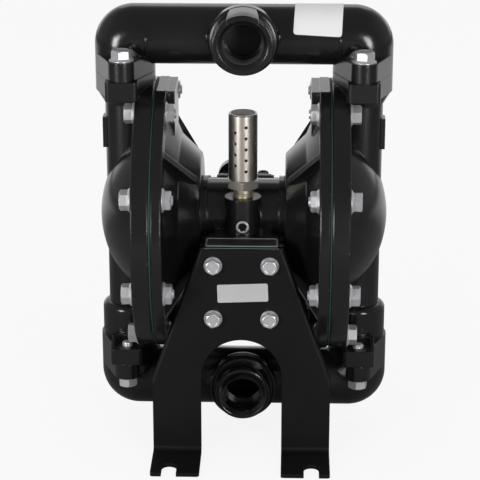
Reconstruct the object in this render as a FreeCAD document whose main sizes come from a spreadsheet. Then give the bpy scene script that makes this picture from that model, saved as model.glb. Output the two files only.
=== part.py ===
import FreeCAD, Part
import math
import operator
import os
from types import SimpleNamespace

import Sketcher
from FreeCAD import Placement, Rotation, Vector

# Air-operated double diaphragm pump with one inch ports.
# X runs to the right hand chamber, Y away from the front feet, Z up.
# The origin is on the ground, midway between the chambers and midway between front and rear feet.
# The right hand pieces are drawn, and the left hand ones are their mirror images.

DRIVING_SIZES = {
    # manifolds and the joints to the chambers
    "ground_clearance": 13.0,
    "bottom_manifold_drop": 24.5,
    "bottom_joint_gap": 11.3,
    "top_joint_gap": 10.0,
    "top_manifold_rise": 27.0,
    "column_offset": 87.0,
    "manifold_radius": 22.0,
    "manifold_wall": 5.5,
    "elbow_bend": 7.0,
    "top_joint_depth": 14.0,
    "bottom_joint_depth": 12.2,
    "joint_end_margin": 1.4,
    "joint_bolt_gap": 1.2,
    "lug_half_width": 11.9,
    "lug_round": 3.0,
    "lug_reach": 12.0,
    "lug_wall": 2.8,
    "lug_wall_rise": 4.5,
    "port_reach": 39.0,
    "port_collar_reach": 27.0,
    "port_collar_depth": 10.0,
    "port_collar_step": 3.5,
    "port_collar_round": 3.0,
    "top_port_wall": 5.35,
    "top_port_round": 1.0,
    "bottom_port_wall": 4.15,
    "bottom_port_round": 2.4,
    "port_thread_minor": 15.15,
    "port_thread_depth": 1.5,
    "port_depth": 22.0,
    "port_shoulder": 2.15,
    "port_mouth_step": 1.4,
    # ring joint between fluid cap and air cap
    "chamber_face": 63.5,
    "ring_bolt_circle": 92.0,
    "ring_bolt_count": 8,
    "ring_edge": 9.0,
    "ring_chamfer": 0.8,
    "seal_land": 22.0,
    "fluid_flange_depth": 13.0,
    "air_flange_depth": 8.0,
    "mouth_depth": 3.0,
    # fluid cap
    "dome_bulge": 29.5,
    "dome_foot_inset": 9.4,
    "dome_wall": 5.0,
    "column_radius": 15.5,
    "column_flare": 6.0,
    "flare_height": 10.0,
    "duct_radius": 11.0,
    "cage_wall": 3.5,
    "housing_rise": 9.5,
    "housing_slope": 0.8,
    "housing_round": 4.4,
    "gusset_half_width": 11.0,
    "gusset_rise": 63.0,
    "gusset_drop": 14.0,
    "gusset_reach": 17.0,
    "column_pad_half_width": 6.0,
    "column_pad_low": 51.0,
    "column_pad_high": 74.0,
    "column_pad_proud": 1.8,
    # check valves
    "ball_radius": 13.5,
    "ball_lift": 8.0,
    "cage_gap": 3.5,
    "cage_headroom": 12.9,
    "seat_land": 5.5,
    "seat_depth": 6.0,
    "seat_line_inset": 2.0,
    "seat_edge": 1.0,
    "seat_seal_thickness": 1.2,
    "seat_rebate_depth": 2.5,
    # air cap
    "hub_face": 31.0,
    "hub_radius": 44.0,
    "shoulder_depth": 15.5,
    "shoulder_step": 15.0,
    "nut_land": 12.0,
    "air_cap_wall": 6.0,
    "cast_round": 4.0,
    "spigot_radius": 13.9,
    "spigot_length": 5.5,
    "rim_pad_half_width": 22.0,
    "rim_pad_depth": 5.8,
    "rim_pad_step": 0.5,
    "rim_flat_inset": 2.5,
    "rib_thickness": 5.0,
    "rib_height": 6.0,
    "rib_end_height": 8.0,
    # centre body
    "barrel_radius": 25.0,
    "collar_radius": 27.0,
    "collar_length": 4.0,
    "hub_gasket_thickness": 0.5,
    "block_top_drop": 6.0,
    "block_height": 66.0,
    "block_waist": 24.0,
    "waist_step": 6.0,
    "chamber_half_width": 14.0,
    "chamber_rise": 16.0,
    "chamber_height": 33.0,
    "chamber_wall": 12.0,
    "exhaust_offset": 25.0,
    "exhaust_boss_radius": 13.5,
    "exhaust_boss_rise": 20.0,
    "plug_radius": 4.8,
    "plug_length": 6.0,
    "plug_key": 5.0,
    # diaphragms and rod
    "diaphragm_rim": 1.0,
    "diaphragm_web": 2.5,
    "diaphragm_inset": 0.4,
    "roll_outer_gap": 4.0,
    "roll_inner_gap": 1.5,
    "roll_height": 4.3,
    "roll_half_width": 2.8,
    "roll_round": 2.5,
    "plate_radius": 44.0,
    "plate_chamfer": 1.0,
    "inner_plate_depth": 6.0,
    "outer_plate_inset": 2.0,
    "outer_plate_depth": 8.0,
    "outer_plate_round": 6.0,
    "rod_radius": 8.0,
    "rod_screw_radius": 6.0,
    "rod_screw_flats": 18.0,
    "rod_screw_head": 7.5,
    "rod_screw_grip": 20.0,
    "rod_screw_spare": 2.0,
    "bushing_wall": 3.0,
    "bushing_length": 14.0,
    "rod_seal_thickness": 1.8,
    # pilot pin
    "pilot_pin_radius": 3.0,
    "pilot_pin_offset": 19.5,
    "pilot_pin_gap": 5.3,
    "cap_screw_circle": 19.5,
    "cap_screw_radius": 2.5,
    "cap_screw_head_radius": 4.25,
    "cap_screw_head": 5.0,
    "cap_screw_length": 14.0,
    # air valve
    "valve_gasket_thickness": 1.0,
    "valve_half_length": 20.0,
    "valve_depth": 36.2,
    "valve_flange_depth": 13.0,
    "valve_axis_inset": 18.0,
    "valve_axis_rise": 10.5,
    "valve_barrel_wall": 2.9,
    "sleeve_radius": 6.5,
    "sleeve_half_length": 17.0,
    "spool_radius": 4.8,
    "spool_half_length": 12.0,
    "spool_waist": 3.0,
    "spool_land": 4.0,
    "valve_plug_reach": 7.0,
    "valve_plug_collar_step": 2.0,
    "valve_plug_collar_length": 2.0,
    "valve_plug_flats": 14.0,
    "valve_plug_head": 3.5,
    "valve_screw_inset": 6.5,
    "valve_screw_edge": 4.7,
    "valve_screw_grip": 13.0,
    "inlet_offset": 9.0,
    "inlet_rise": 1.0,
    "inlet_boss_wall": 5.0,
    "inlet_boss_length": 9.0,
    "inlet_bore": 5.9,
    "bushing_thread_radius": 8.0,
    "bushing_thread_length": 9.0,
    "bushing_flats": 19.0,
    "bushing_head": 5.0,
    # muffler
    "neck_radius": 7.5,
    "neck_engagement": 10.0,
    "neck_visible": 7.0,
    "muffler_flats": 22.0,
    "muffler_hex_depth": 7.0,
    "muffler_radius": 10.6,
    "muffler_length": 49.0,
    "muffler_wall": 1.0,
    "muffler_round": 1.2,
    "muffler_spigot": 4.0,
    "muffler_hole_radius": 1.2,
    "muffler_hole_pitch": 8.3,
    "muffler_hole_rows": 5,
    "muffler_hole_columns": 8,
    "muffler_first_row": 7.5,
    "element_gap": 0.6,
    "element_bore": 5.0,
    # foot brackets
    "sheet_thickness": 3.0,
    "gasket_thickness": 1.0,
    "gasket_margin": 1.0,
    "bracket_top_half_width": 30.3,
    "leg_corner_drop": 0.6,
    "leg_outer": 65.5,
    "leg_inner": 29.7,
    "arch_rise": 26.6,
    "fold_depth": 5.08,
    "fold_round": 2.8,
    "bend_radius": 3.0,
    "toe_reach": 40.0,
    "toe_round": 2.0,
    "slot_width": 11.0,
    "slot_offset": 52.0,
    "slot_length": 16.0,
    "foot_bolt_spacing": 41.0,
    "foot_bolt_drop": 33.5,
    # fasteners
    "large_bolt_radius": 4.0,
    "large_bolt_flats": 13.0,
    "large_flange_radius": 8.8,
    "large_head": 8.0,
    "large_nut": 6.5,
    "small_bolt_radius": 3.0,
    "small_bolt_flats": 10.0,
    "small_flange_radius": 6.7,
    "small_head": 5.5,
    "small_bolt_grip": 14.0,
    "head_flange": 1.5,
    "bolt_end": 2.6,
    # clearances
    "bolt_clearance": 0.5,
    "thread_clearance": 0.1,
    "running_clearance": 0.05,
    "seat_clearance": 0.3,
    "bore_overrun": 1.0,
}

OPERATIONS = {"+": operator.add, "-": operator.sub, "*": operator.mul, "/": operator.truediv}
X_AXIS = Vector(1, 0, 0)
Y_AXIS = Vector(0, 1, 0)
Z_AXIS = Vector(0, 0, 1)
TURNS = {
    "+x": Rotation(Y_AXIS, 90),
    "-x": Rotation(Y_AXIS, -90),
    "+y": Rotation(X_AXIS, -90),
    "-y": Rotation(X_AXIS, 90),
    "+z": Rotation(),
    "-z": Rotation(X_AXIS, 180),
}


class Length:
    """A length in millimetres, kept with the spreadsheet formula that gives it."""

    def __init__(self, formula, number):
        self.formula = formula
        self.number = number

    def __add__(self, other):
        return joined(self, "+", other)

    def __radd__(self, other):
        return joined(other, "+", self)

    def __sub__(self, other):
        return joined(self, "-", other)

    def __rsub__(self, other):
        return joined(other, "-", self)

    def __mul__(self, other):
        return joined(self, "*", other)

    def __rmul__(self, other):
        return joined(other, "*", self)

    def __truediv__(self, other):
        return joined(self, "/", other)

    def __neg__(self):
        return joined(0, "-", self)

    def root(self):
        return Length(f"sqrt({self.formula})", math.sqrt(self.number))


def as_length(item):
    if isinstance(item, Length):
        return item
    return Length(format(item, ".9f").rstrip("0").rstrip("."), float(item))


def joined(first, sign, second):
    first, second = as_length(first), as_length(second)
    number = OPERATIONS[sign](first.number, second.number)
    return Length(f"({first.formula} {sign} {second.formula})", number)


def number(item):
    return as_length(item).number


def bind(thing, prop, item):
    thing.setExpression(prop, as_length(item).formula)


def place(thing, spot, turn=None, prop="Placement"):
    """Put a thing at a spot whose coordinates follow the spreadsheet."""
    setattr(thing, prop, Placement(Vector(*[number(item) for item in spot]), turn or Rotation()))
    for letter, item in zip("xyz", spot):
        if isinstance(item, Length):
            bind(thing, f".{prop}.Base.{letter}", item)


doc = FreeCAD.newDocument("diaphragm_pump")
sheet = doc.addObject("Spreadsheet::Sheet", "sizes")
for row, (alias, plain) in enumerate(DRIVING_SIZES.items(), start=1):
    sheet.set(f"A{row}", alias.replace("_", " "))
    sheet.set(f"B{row}", str(plain))
    sheet.setAlias(f"B{row}", alias)
doc.recompute()
size = SimpleNamespace(**{alias: Length(f"sizes.{alias}", plain) for alias, plain in DRIVING_SIZES.items()})
nodes = []


def add_worked_out_sizes():
    """Sizes that follow from the driving ones, from the ground up and from the middle outwards."""
    size.joint_end_radius = size.large_flange_radius + size.joint_end_margin
    size.joint_bolt_spread = size.manifold_radius + size.large_flange_radius + size.joint_bolt_gap
    size.manifold_bore = size.manifold_radius - size.manifold_wall
    ring_bolt_rise = size.ring_bolt_circle * math.cos(math.pi / DRIVING_SIZES["ring_bolt_count"])
    size.bottom_manifold_height = size.ground_clearance + size.manifold_radius
    size.bottom_joint_height = size.bottom_manifold_height + size.bottom_manifold_drop
    bottom_bolts = size.bottom_joint_height + size.bottom_joint_depth + size.bottom_joint_gap
    size.axis_height = bottom_bolts + ring_bolt_rise
    size.top_joint_height = size.axis_height + ring_bolt_rise + size.top_joint_gap + size.top_joint_depth
    size.top_manifold_height = size.top_joint_height + size.top_manifold_rise
    size.port_thread_major = size.port_thread_minor + size.port_thread_depth
    size.port_passage = size.port_thread_minor - size.port_shoulder
    size.port_mouth = size.port_thread_major + size.port_mouth_step
    size.top_port_radius = size.port_thread_major + size.top_port_wall
    size.bottom_port_radius = size.port_thread_major + size.bottom_port_wall
    size.port_collar_radius = size.manifold_radius + size.port_collar_step

    size.ring_radius = size.ring_bolt_circle + size.ring_edge
    size.mouth_radius = size.ring_bolt_circle - size.seal_land
    size.air_cone_radius = size.ring_bolt_circle - size.nut_land
    size.shoulder_face = size.hub_face + size.shoulder_depth
    size.shoulder_radius = size.hub_radius + size.shoulder_step
    size.rim_flat_height = size.ring_radius - size.rim_flat_inset
    size.diaphragm_radius = size.ring_radius - size.diaphragm_inset
    size.roll_outer_radius = size.mouth_radius - size.roll_outer_gap
    size.roll_inner_radius = size.plate_radius + size.roll_inner_gap
    size.outer_plate_radius = size.plate_radius - size.outer_plate_inset

    outer_face = size.chamber_face + size.diaphragm_rim + size.fluid_flange_depth
    reach = outer_face + size.dome_bulge
    size.dome_foot = size.mouth_radius - size.dome_foot_inset
    size.dome_centre = (reach * reach - outer_face * outer_face - size.dome_foot * size.dome_foot) / (
        2 * size.dome_bulge
    )
    size.dome_radius = reach - size.dome_centre

    size.cage_radius = size.ball_radius + size.cage_gap
    size.housing_radius = size.cage_radius + size.cage_wall
    size.seat_radius = size.ball_radius + size.seat_land
    size.seat_line_radius = size.ball_radius - size.seat_line_inset
    size.seat_bore = size.seat_line_radius - size.seat_edge

    size.block_half_width = size.collar_radius
    size.block_top = size.axis_height - size.block_top_drop
    size.block_bottom = size.block_top - size.block_height
    size.chamber_low = size.block_bottom + size.chamber_rise
    size.chamber_high = size.chamber_low + size.chamber_height
    size.exhaust_boss_top = size.axis_height + size.exhaust_boss_rise
    size.bushing_radius = size.rod_radius + size.bushing_wall

    size.bracket_top = size.block_top - size.gasket_margin
    size.arch_height = size.bottom_manifold_height + size.arch_rise
    size.leg_corner_height = size.arch_height - size.leg_corner_drop
    size.foot_bolt_centre = size.block_top - size.foot_bolt_drop
    size.small_bolt_length = size.sheet_thickness + size.gasket_thickness + size.small_bolt_grip
    size.fold_back = fold_clear_of_ring()
    size.bracket_face = size.fold_back + size.fold_depth
    size.block_half_depth = size.bracket_face - size.sheet_thickness - size.gasket_thickness

    size.valve_rear = size.block_half_depth
    size.valve_front = size.valve_rear - size.valve_depth
    size.valve_axis_depth = size.valve_rear - size.valve_axis_inset
    size.valve_axis_height = size.block_top + size.valve_gasket_thickness + size.valve_axis_rise
    size.valve_barrel_radius = size.sleeve_radius + size.valve_barrel_wall
    size.valve_screw_offset = size.valve_half_length - size.valve_screw_inset
    size.valve_screw_front = size.valve_front + size.valve_screw_edge
    size.valve_screw_rear = size.valve_rear - size.valve_screw_edge
    size.valve_screw_length = size.valve_flange_depth + size.valve_screw_grip
    size.inlet_height = size.valve_axis_height + size.inlet_rise
    size.inlet_boss_radius = size.bushing_thread_radius + size.inlet_boss_wall


def fold_clear_of_ring():
    """How far back the bracket's folded sides reach, so that they clear the ring joint where they pass it."""
    lean = (size.leg_outer - size.bracket_top_half_width) / (size.bracket_top - size.leg_corner_height)
    flange_back = size.chamber_face - size.air_flange_depth
    passing_drop = (flange_back - size.bracket_top_half_width) / lean
    below_axis = size.axis_height - size.bracket_top + passing_drop
    clear = size.ring_radius + size.seat_clearance
    return (clear * clear - below_axis * below_axis).root()


add_worked_out_sizes()


# Primitives and booleans


def cylinder(name, radius, length, spot, way="+z"):
    piece = doc.addObject("Part::Cylinder", name)
    bind(piece, "Radius", radius)
    bind(piece, "Height", length)
    place(piece, spot, TURNS[way])
    return piece


def box(name, low, high):
    piece = doc.addObject("Part::Box", name)
    for prop, near, far in zip(("Length", "Width", "Height"), low, high):
        bind(piece, prop, as_length(far) - near)
    place(piece, low)
    return piece


def hexagon(name, flats, length, spot, way="+z"):
    piece = doc.addObject("Part::Prism", name)
    piece.Polygon = 6
    bind(piece, "Circumradius", flats * (1 / math.sqrt(3)))
    bind(piece, "Height", length)
    place(piece, spot, TURNS[way])
    return piece


def torus(name, ring, thickness, spot, way="+z"):
    piece = doc.addObject("Part::Torus", name)
    bind(piece, "Radius1", ring)
    bind(piece, "Radius2", thickness)
    place(piece, spot, TURNS[way])
    return piece


def fuse(name, pieces):
    if len(pieces) == 1:
        return pieces[0]
    whole = doc.addObject("Part::MultiFuse", name)
    whole.Shapes = pieces
    whole.Refine = True
    return whole


def cut(name, base, tools):
    rest = doc.addObject("Part::Cut", name)
    rest.Base = base
    rest.Tool = fuse(name + "_tools", tools)
    rest.Refine = True
    return rest


def copies(name, master, spots):
    """Repeat one piece at several spots, each a separate solid of one group."""
    links = []
    for spot, turn in spots:
        link = doc.addObject("App::Link", name + "_copy")
        link.LinkedObject = master
        place(link, spot, turn, "LinkPlacement")
        links.append(link)
    group = doc.addObject("Part::Compound", name)
    group.Links = links
    return group


def mirrored(name, source):
    image = doc.addObject("Part::Mirroring", name)
    image.Source = source
    image.Normal = X_AXIS
    return image


def keep(piece, node):
    """Name a finished sub-part, so that it is written to its own file."""
    piece.Label = node
    nodes.append(piece)
    return piece


def keep_pair(piece, node):
    keep(piece, node + "_right")
    keep(mirrored(node + "_mirror", piece), node + "_left")


# Bodies made from sketches


def datum(body, role):
    return next(item for item in body.Origin.OriginFeatures if item.Role == role)


def sketch_on(body, role, offset=0):
    sketch = body.newObject("Sketcher::SketchObject", body.Name + "_sketch")
    sketch.AttachmentSupport = [(datum(body, role), "")]
    sketch.MapMode = "FlatFace"
    bind(sketch, ".AttachmentOffset.Base.z", offset)
    return sketch


def dimension(sketch, constraint, item):
    index = sketch.addConstraint(constraint)
    sketch.renameConstraint(index, f"size_{index}")
    bind(sketch, f"Constraints.size_{index}", item)


def pin_across(sketch, geometry, end, item, kind="DistanceX", axis=-2):
    """Fix one coordinate of a point by its distance from the sketch's origin."""
    item = as_length(item)
    if item.number == 0:
        sketch.addConstraint(Sketcher.Constraint("PointOnObject", geometry, end, axis))
    elif item.number > 0:
        dimension(sketch, Sketcher.Constraint(kind, -1, 1, geometry, end, item.number), item)
    else:
        dimension(sketch, Sketcher.Constraint(kind, geometry, end, -1, 1, -item.number), -item)


def pin_up(sketch, geometry, end, item):
    pin_across(sketch, geometry, end, item, "DistanceY", -1)


def pin_point(sketch, geometry, end, spot):
    pin_across(sketch, geometry, end, spot[0])
    pin_up(sketch, geometry, end, spot[1])


def arc_between(start, finish, radius, left, large):
    """The centre of an arc of the given radius from start to finish, turning left or right."""
    chord = finish - start
    rise = math.sqrt(max(radius**2 - (chord.Length / 2) ** 2, 0.0))
    side = Vector(-chord.y, chord.x, 0).normalize()
    if left == large:
        side = -side
    return start + chord * 0.5 + side * rise


def add_arc(sketch, centre, radius, start, finish, left):
    """Add an arc and give the end numbers of its start and finish."""
    first, last = (start, finish) if left else (finish, start)
    angles = [math.atan2(spot.y - centre.y, spot.x - centre.x) for spot in (first, last)]
    if angles[1] <= angles[0]:
        angles[1] += 2 * math.pi
    arc = Part.ArcOfCircle(Part.Circle(centre, Z_AXIS, radius), *angles)
    ends = (1, 2) if left else (2, 1)
    return sketch.addGeometry(arc, False), ends


def rounding(before, corner, after, radius):
    """Tangent points, centre and side of the arc that rounds a corner."""
    back = (before - corner).normalize()
    ahead = (after - corner).normalize()
    half = back.getAngle(ahead) / 2
    reach = radius / math.tan(half)
    centre = corner + (back + ahead).normalize() * (radius / math.sin(half))
    left = back.cross(ahead).z < 0
    return corner + back * reach, corner + ahead * reach, centre, left


def outline(body, role, corners, offset=0):
    """Sketch a closed outline.

    A corner is (across, up) or (across, up, options). The option "round" rounds the corner with a
    tangent arc. The option "arc" makes the edge to the next corner an arc of that radius, with "left"
    for its side and "large" where it is more than a half circle. The option "half" is for an exact half
    circle on a level line.
    """
    sketch = sketch_on(body, role, offset)
    options = [corner[2] if len(corner) > 2 else {} for corner in corners]
    points = [Vector(number(corner[0]), number(corner[1]), 0) for corner in corners]
    count = len(corners)
    enter, leave, rounded = list(points), list(points), {}
    for index in range(count):
        if "round" in options[index]:
            radius = options[index]["round"]
            arc = rounding(points[index - 1], points[index], points[(index + 1) % count], number(radius))
            enter[index], leave[index] = arc[0], arc[1]
            rounded[index] = (arc[2], arc[3], radius)
    chain = []
    for index in range(count):
        if index in rounded:
            centre, left, radius = rounded[index]
            made, ends = add_arc(sketch, centre, number(radius), enter[index], leave[index], left)
            dimension(sketch, Sketcher.Constraint("Radius", made, number(radius)), radius)
            chain.append((made, ends, index, True))
        after = (index + 1) % count
        if "arc" in options[index]:
            radius, left = options[index]["arc"], options[index].get("left", True)
            large = options[index].get("large", False)
            centre = arc_between(leave[index], enter[after], number(radius), left, large)
            made, ends = add_arc(sketch, centre, number(radius), leave[index], enter[after], left)
            if "half" in options[index]:
                pin_up(sketch, made, 3, corners[index][1])
            else:
                dimension(sketch, Sketcher.Constraint("Radius", made, number(radius)), radius)
        else:
            made, ends = sketch.addGeometry(Part.LineSegment(leave[index], enter[after]), False), (1, 2)
        chain.append((made, ends, index, False))
    for place_in_chain, (made, ends, index, is_round) in enumerate(chain):
        following, next_ends, next_index, next_round = chain[(place_in_chain + 1) % len(chain)]
        kind = "Tangent" if is_round or next_round else "Coincident"
        sketch.addConstraint(Sketcher.Constraint(kind, made, ends[1], following, next_ends[0]))
        if not is_round and not next_round:
            pin_point(sketch, following, next_ends[0], corners[next_index])
        if is_round:
            previous = chain[place_in_chain - 1][0]
            corner_point = sketch.addGeometry(Part.Point(points[index]), True)
            for line in (previous, following):
                sketch.addConstraint(Sketcher.Constraint("PointOnObject", corner_point, 1, line))
            pin_point(sketch, corner_point, 1, corners[index])
    return sketch


def circle(body, role, spot, radius, offset=0):
    sketch = sketch_on(body, role, offset)
    centre = Vector(number(spot[0]), number(spot[1]), 0)
    made = sketch.addGeometry(Part.Circle(centre, Z_AXIS, number(radius)), False)
    dimension(sketch, Sketcher.Constraint("Radius", made, number(radius)), radius)
    pin_point(sketch, made, 3, spot)
    return sketch


def new_body(name, spot=(0, 0, 0), turn=None):
    body = doc.addObject("PartDesign::Body", name)
    place(body, spot, turn)
    return body


def feature(body, kind, sketch, **settings):
    made = body.newObject("PartDesign::" + kind, f"{body.Name}_{kind.lower()}")
    made.Profile = sketch
    for prop, item in settings.items():
        if isinstance(item, Length):
            bind(made, prop, item)
        else:
            setattr(made, prop, item)
    return made


def revolve(name, corners, about, spot=(0, 0, 0), turn=None, angle=360):
    """Turn an outline of (along the axis, radius) corners about X or Y, or (radius, height) about Z."""
    planes = {"x": ("XZ_Plane", "H_Axis"), "y": ("YZ_Plane", "H_Axis"), "z": ("XZ_Plane", "V_Axis")}
    role, axis = planes[about]
    body = new_body(name, spot, turn)
    sketch = outline(body, role, corners)
    feature(body, "Revolution", sketch, ReferenceAxis=(sketch, [axis]), Angle=angle)
    return body


def extrude(name, role, corners, length, offset=0, back=False, spot=(0, 0, 0), turn=None):
    """Pad an outline along its plane's own normal: +Z, -Y or +X, or against it with back."""
    body = new_body(name, spot, turn)
    feature(body, "Pad", outline(body, role, corners, offset), Length=as_length(length), Reversed=back)
    return body


def ring_of(body, made, axis, count):
    """Repeat a feature of a body round one of its own axes."""
    pattern = body.newObject("PartDesign::PolarPattern", body.Name + "_pattern")
    pattern.Originals = [made]
    pattern.Axis = (datum(body, axis), [""])
    pattern.Angle = 360
    pattern.Occurrences = int(number(count))
    body.Tip = pattern
    return pattern


def around(radius, degrees):
    """A spot on a circle, as (across, up) with the angle counted from straight up."""
    angle = math.radians(degrees)
    return radius * math.sin(angle), radius * math.cos(angle)


def drill_ring(body, circle_radius, hole_radius, count):
    """Drill a ring of holes along X, the first half a step from the top."""
    step = 360 / number(count)
    sketch = circle(body, "YZ_Plane", around(circle_radius, step / 2), hole_radius)
    hole = feature(body, "Pocket", sketch, Type="ThroughAll", SideType="Symmetric")
    ring_of(body, hole, "X_Axis", count)


# Fasteners: heads point along +Z with their bearing face at the origin


def flange_bolt(name, radius, length, flats, flange_radius, head):
    stem = revolve(
        name + "_stem",
        [(0, -length), (radius, -length), (radius, 0), (flange_radius, 0), (flange_radius, size.head_flange),
         (0, size.head_flange)],
        "z",
    )
    return fuse(name, [stem, hexagon(name + "_hex", flats, head, (0, 0, 0))])


def hex_bolt(name, radius, length, flats, head):
    shank = cylinder(name + "_shank", radius, length, (0, 0, -length))
    return fuse(name, [shank, hexagon(name + "_hex", flats, head, (0, 0, 0))])


def socket_screw(name, radius, length, head_radius, head):
    return revolve(
        name,
        [(0, -length), (radius, -length), (radius, 0), (head_radius, 0), (head_radius, head), (0, head)],
        "z",
    )


def large_bolt(name, length):
    return flange_bolt(
        name, size.large_bolt_radius, length, size.large_bolt_flats, size.large_flange_radius, size.large_head
    )


def ring_spots(along, turn, radius, count):
    """Spots on a ring about the pump's axis, half a step from the top."""
    step = 360 / number(count)
    spots = []
    for index in range(int(number(count))):
        across, up = around(radius, (index + 0.5) * step)
        spots.append(((along, across, size.axis_height + up), turn))
    return spots


# Joint flanges and check valve seats, shared by chambers and manifolds

fluid_face = size.chamber_face + size.diaphragm_rim
flange_outer_face = fluid_face + size.fluid_flange_depth
clear_bolt = size.large_bolt_radius + size.bolt_clearance
tapped_bolt = size.large_bolt_radius + size.thread_clearance


def joint_flange(name, low, depth):
    """Diamond flange: round the column in the middle, narrower round a bolt at each end."""
    lean = (size.manifold_radius - size.joint_end_radius) / size.joint_bolt_spread
    side = size.manifold_radius / (1 - lean * lean).root()
    end = size.manifold_radius / lean
    wide, narrow = {"round": size.manifold_radius}, {"round": size.joint_end_radius}
    corners = [(side, 0, wide), (0, end, narrow), (-side, 0, wide), (0, -end, narrow)]
    return extrude(name, "XY_Plane", corners, depth, spot=(size.column_offset, 0, low))


def joint_lug(name, low, depth, end):
    """Square block round a tapped bolt hole, wider than the flange that it stands on."""
    half, spread = size.lug_half_width, size.joint_bolt_spread
    near, far = spread - size.lug_reach, spread + size.joint_end_radius
    soft = {"round": size.lug_round}
    corners = [(half, end * near), (half, end * far, soft), (-half, end * far, soft), (-half, end * near)]
    return extrude(name, "XY_Plane", corners, depth, spot=(size.column_offset, 0, low))


def lug_walls(name, low, end):
    """Walls behind and beside a bolt's thread end, highest at the back."""
    half, spread = size.lug_half_width, size.joint_bolt_spread
    near, far = spread - size.lug_reach, spread + size.joint_end_radius - size.lug_round
    back = near + size.lug_wall * 2
    corners = [
        (end * near, 0), (end * far, 0), (end * back, size.lug_wall_rise), (end * near, size.lug_wall_rise),
    ]
    block = extrude(
        name + "_block", "YZ_Plane", corners, half * 2, spot=(size.column_offset - half, 0, low)
    )
    inner = half - size.lug_wall
    first, last = sorted((end * (near + size.lug_wall), end * (far + size.lug_round)), key=number)
    pocket = box(
        name + "_pocket", (size.column_offset - inner, first, low),
        (size.column_offset + inner, last, low + size.lug_wall_rise * 2),
    )
    return cut(name, block, [pocket])


def joint_spots(height, turn, sides=(1, -1)):
    return [
        ((side * size.column_offset, end * size.joint_bolt_spread, height), turn)
        for side in sides
        for end in (1, -1)
    ]


def seat_recess(name, joint_height):
    """Recess for the seat, below the joint face."""
    return cylinder(
        name,
        size.seat_radius + size.thread_clearance,
        size.seat_depth,
        (size.column_offset, 0, joint_height - size.seat_depth),
    )


def ball_rest_rise():
    """Height of a resting ball's centre above the joint face."""
    contact = size.ball_radius + size.seat_clearance
    above_line = (contact * contact - size.seat_line_radius * size.seat_line_radius).root()
    return above_line - (size.seat_line_radius - size.seat_bore)


def cage_height():
    """Height at which the inlet ball's cage starts to narrow, above the joint face."""
    return ball_rest_rise() + size.ball_lift + size.cage_headroom


# Fluid cap


def fluid_cap():
    column, rim, bevel = size.column_offset, size.ring_radius, size.ring_chamfer
    shell = revolve(
        "fluid_cap_shell",
        [(fluid_face, 0), (fluid_face, rim - bevel), (fluid_face + bevel, rim),
         (flange_outer_face - bevel, rim), (flange_outer_face, rim - bevel),
         (flange_outer_face, size.dome_foot, {"arc": size.dome_radius, "left": False}),
         (size.dome_centre + size.dome_radius, 0)],
        "x",
        spot=(0, 0, size.axis_height),
    )
    drill_ring(shell, size.ring_bolt_circle, clear_bolt, size.ring_bolt_count)
    joint_gap = size.top_joint_height - size.bottom_joint_height
    shoulder = cage_height() + size.housing_rise
    flare = joint_gap - size.top_joint_depth
    wide = size.column_radius + size.column_flare
    soft = {"round": size.housing_round}
    tower = revolve(
        "fluid_cap_column",
        [(0, 0), (size.housing_radius, 0), (size.housing_radius, shoulder, soft),
         (size.column_radius, shoulder + size.housing_slope), (size.column_radius, flare - size.flare_height),
         (wide, flare), (wide, joint_gap), (0, joint_gap)],
        "z",
        spot=(column, 0, size.bottom_joint_height),
    )
    upper_low, upper_deep = size.top_joint_height - size.top_joint_depth, size.top_joint_depth
    lower_low, lower_deep = size.bottom_joint_height, size.bottom_joint_depth
    top = joint_flange("fluid_cap_top_joint", upper_low, upper_deep)
    bottom = joint_flange("fluid_cap_bottom_joint", lower_low, lower_deep)
    pad = box(
        "fluid_cap_pad",
        (column, -size.column_pad_half_width, size.axis_height + size.column_pad_low),
        (column + size.column_radius + size.column_pad_proud, size.column_pad_half_width,
         size.axis_height + size.column_pad_high),
    )
    gussets = [fluid_cap_gusset("upper", 1), fluid_cap_gusset("lower", -1)]
    lugs = []
    for end, name in ((1, "rear"), (-1, "front")):
        lugs.append(joint_lug(f"fluid_cap_upper_{name}_lug", upper_low, upper_deep, end))
        lugs.append(joint_lug(f"fluid_cap_lower_{name}_lug", lower_low, lower_deep, end))
        lugs.append(lug_walls(f"fluid_cap_{name}_walls", lower_low + lower_deep, end))
    outside = fuse("fluid_cap_outside", [shell, tower, top, bottom, pad] + gussets + lugs)
    cap = cut("fluid_cap", outside, fluid_cap_hollows() + joint_holes("fluid_cap"))
    keep_pair(cap, "fluid_cap")


def fluid_cap_gusset(name, side):
    """Web that runs from the flange's face to the column, above or below the dome."""
    foot = size.gusset_rise - 2 * size.gusset_drop
    corners = [
        (fluid_face, side * foot),
        (fluid_face, side * size.gusset_rise),
        (flange_outer_face, side * size.gusset_rise),
        (flange_outer_face + size.gusset_reach, side * (size.gusset_rise - size.gusset_drop)),
        (flange_outer_face + size.gusset_reach, side * foot),
    ]
    width = size.gusset_half_width
    return extrude(
        f"fluid_cap_{name}_gusset", "XZ_Plane", corners, width * 2, offset=-width, spot=(0, 0, size.axis_height)
    )


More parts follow.
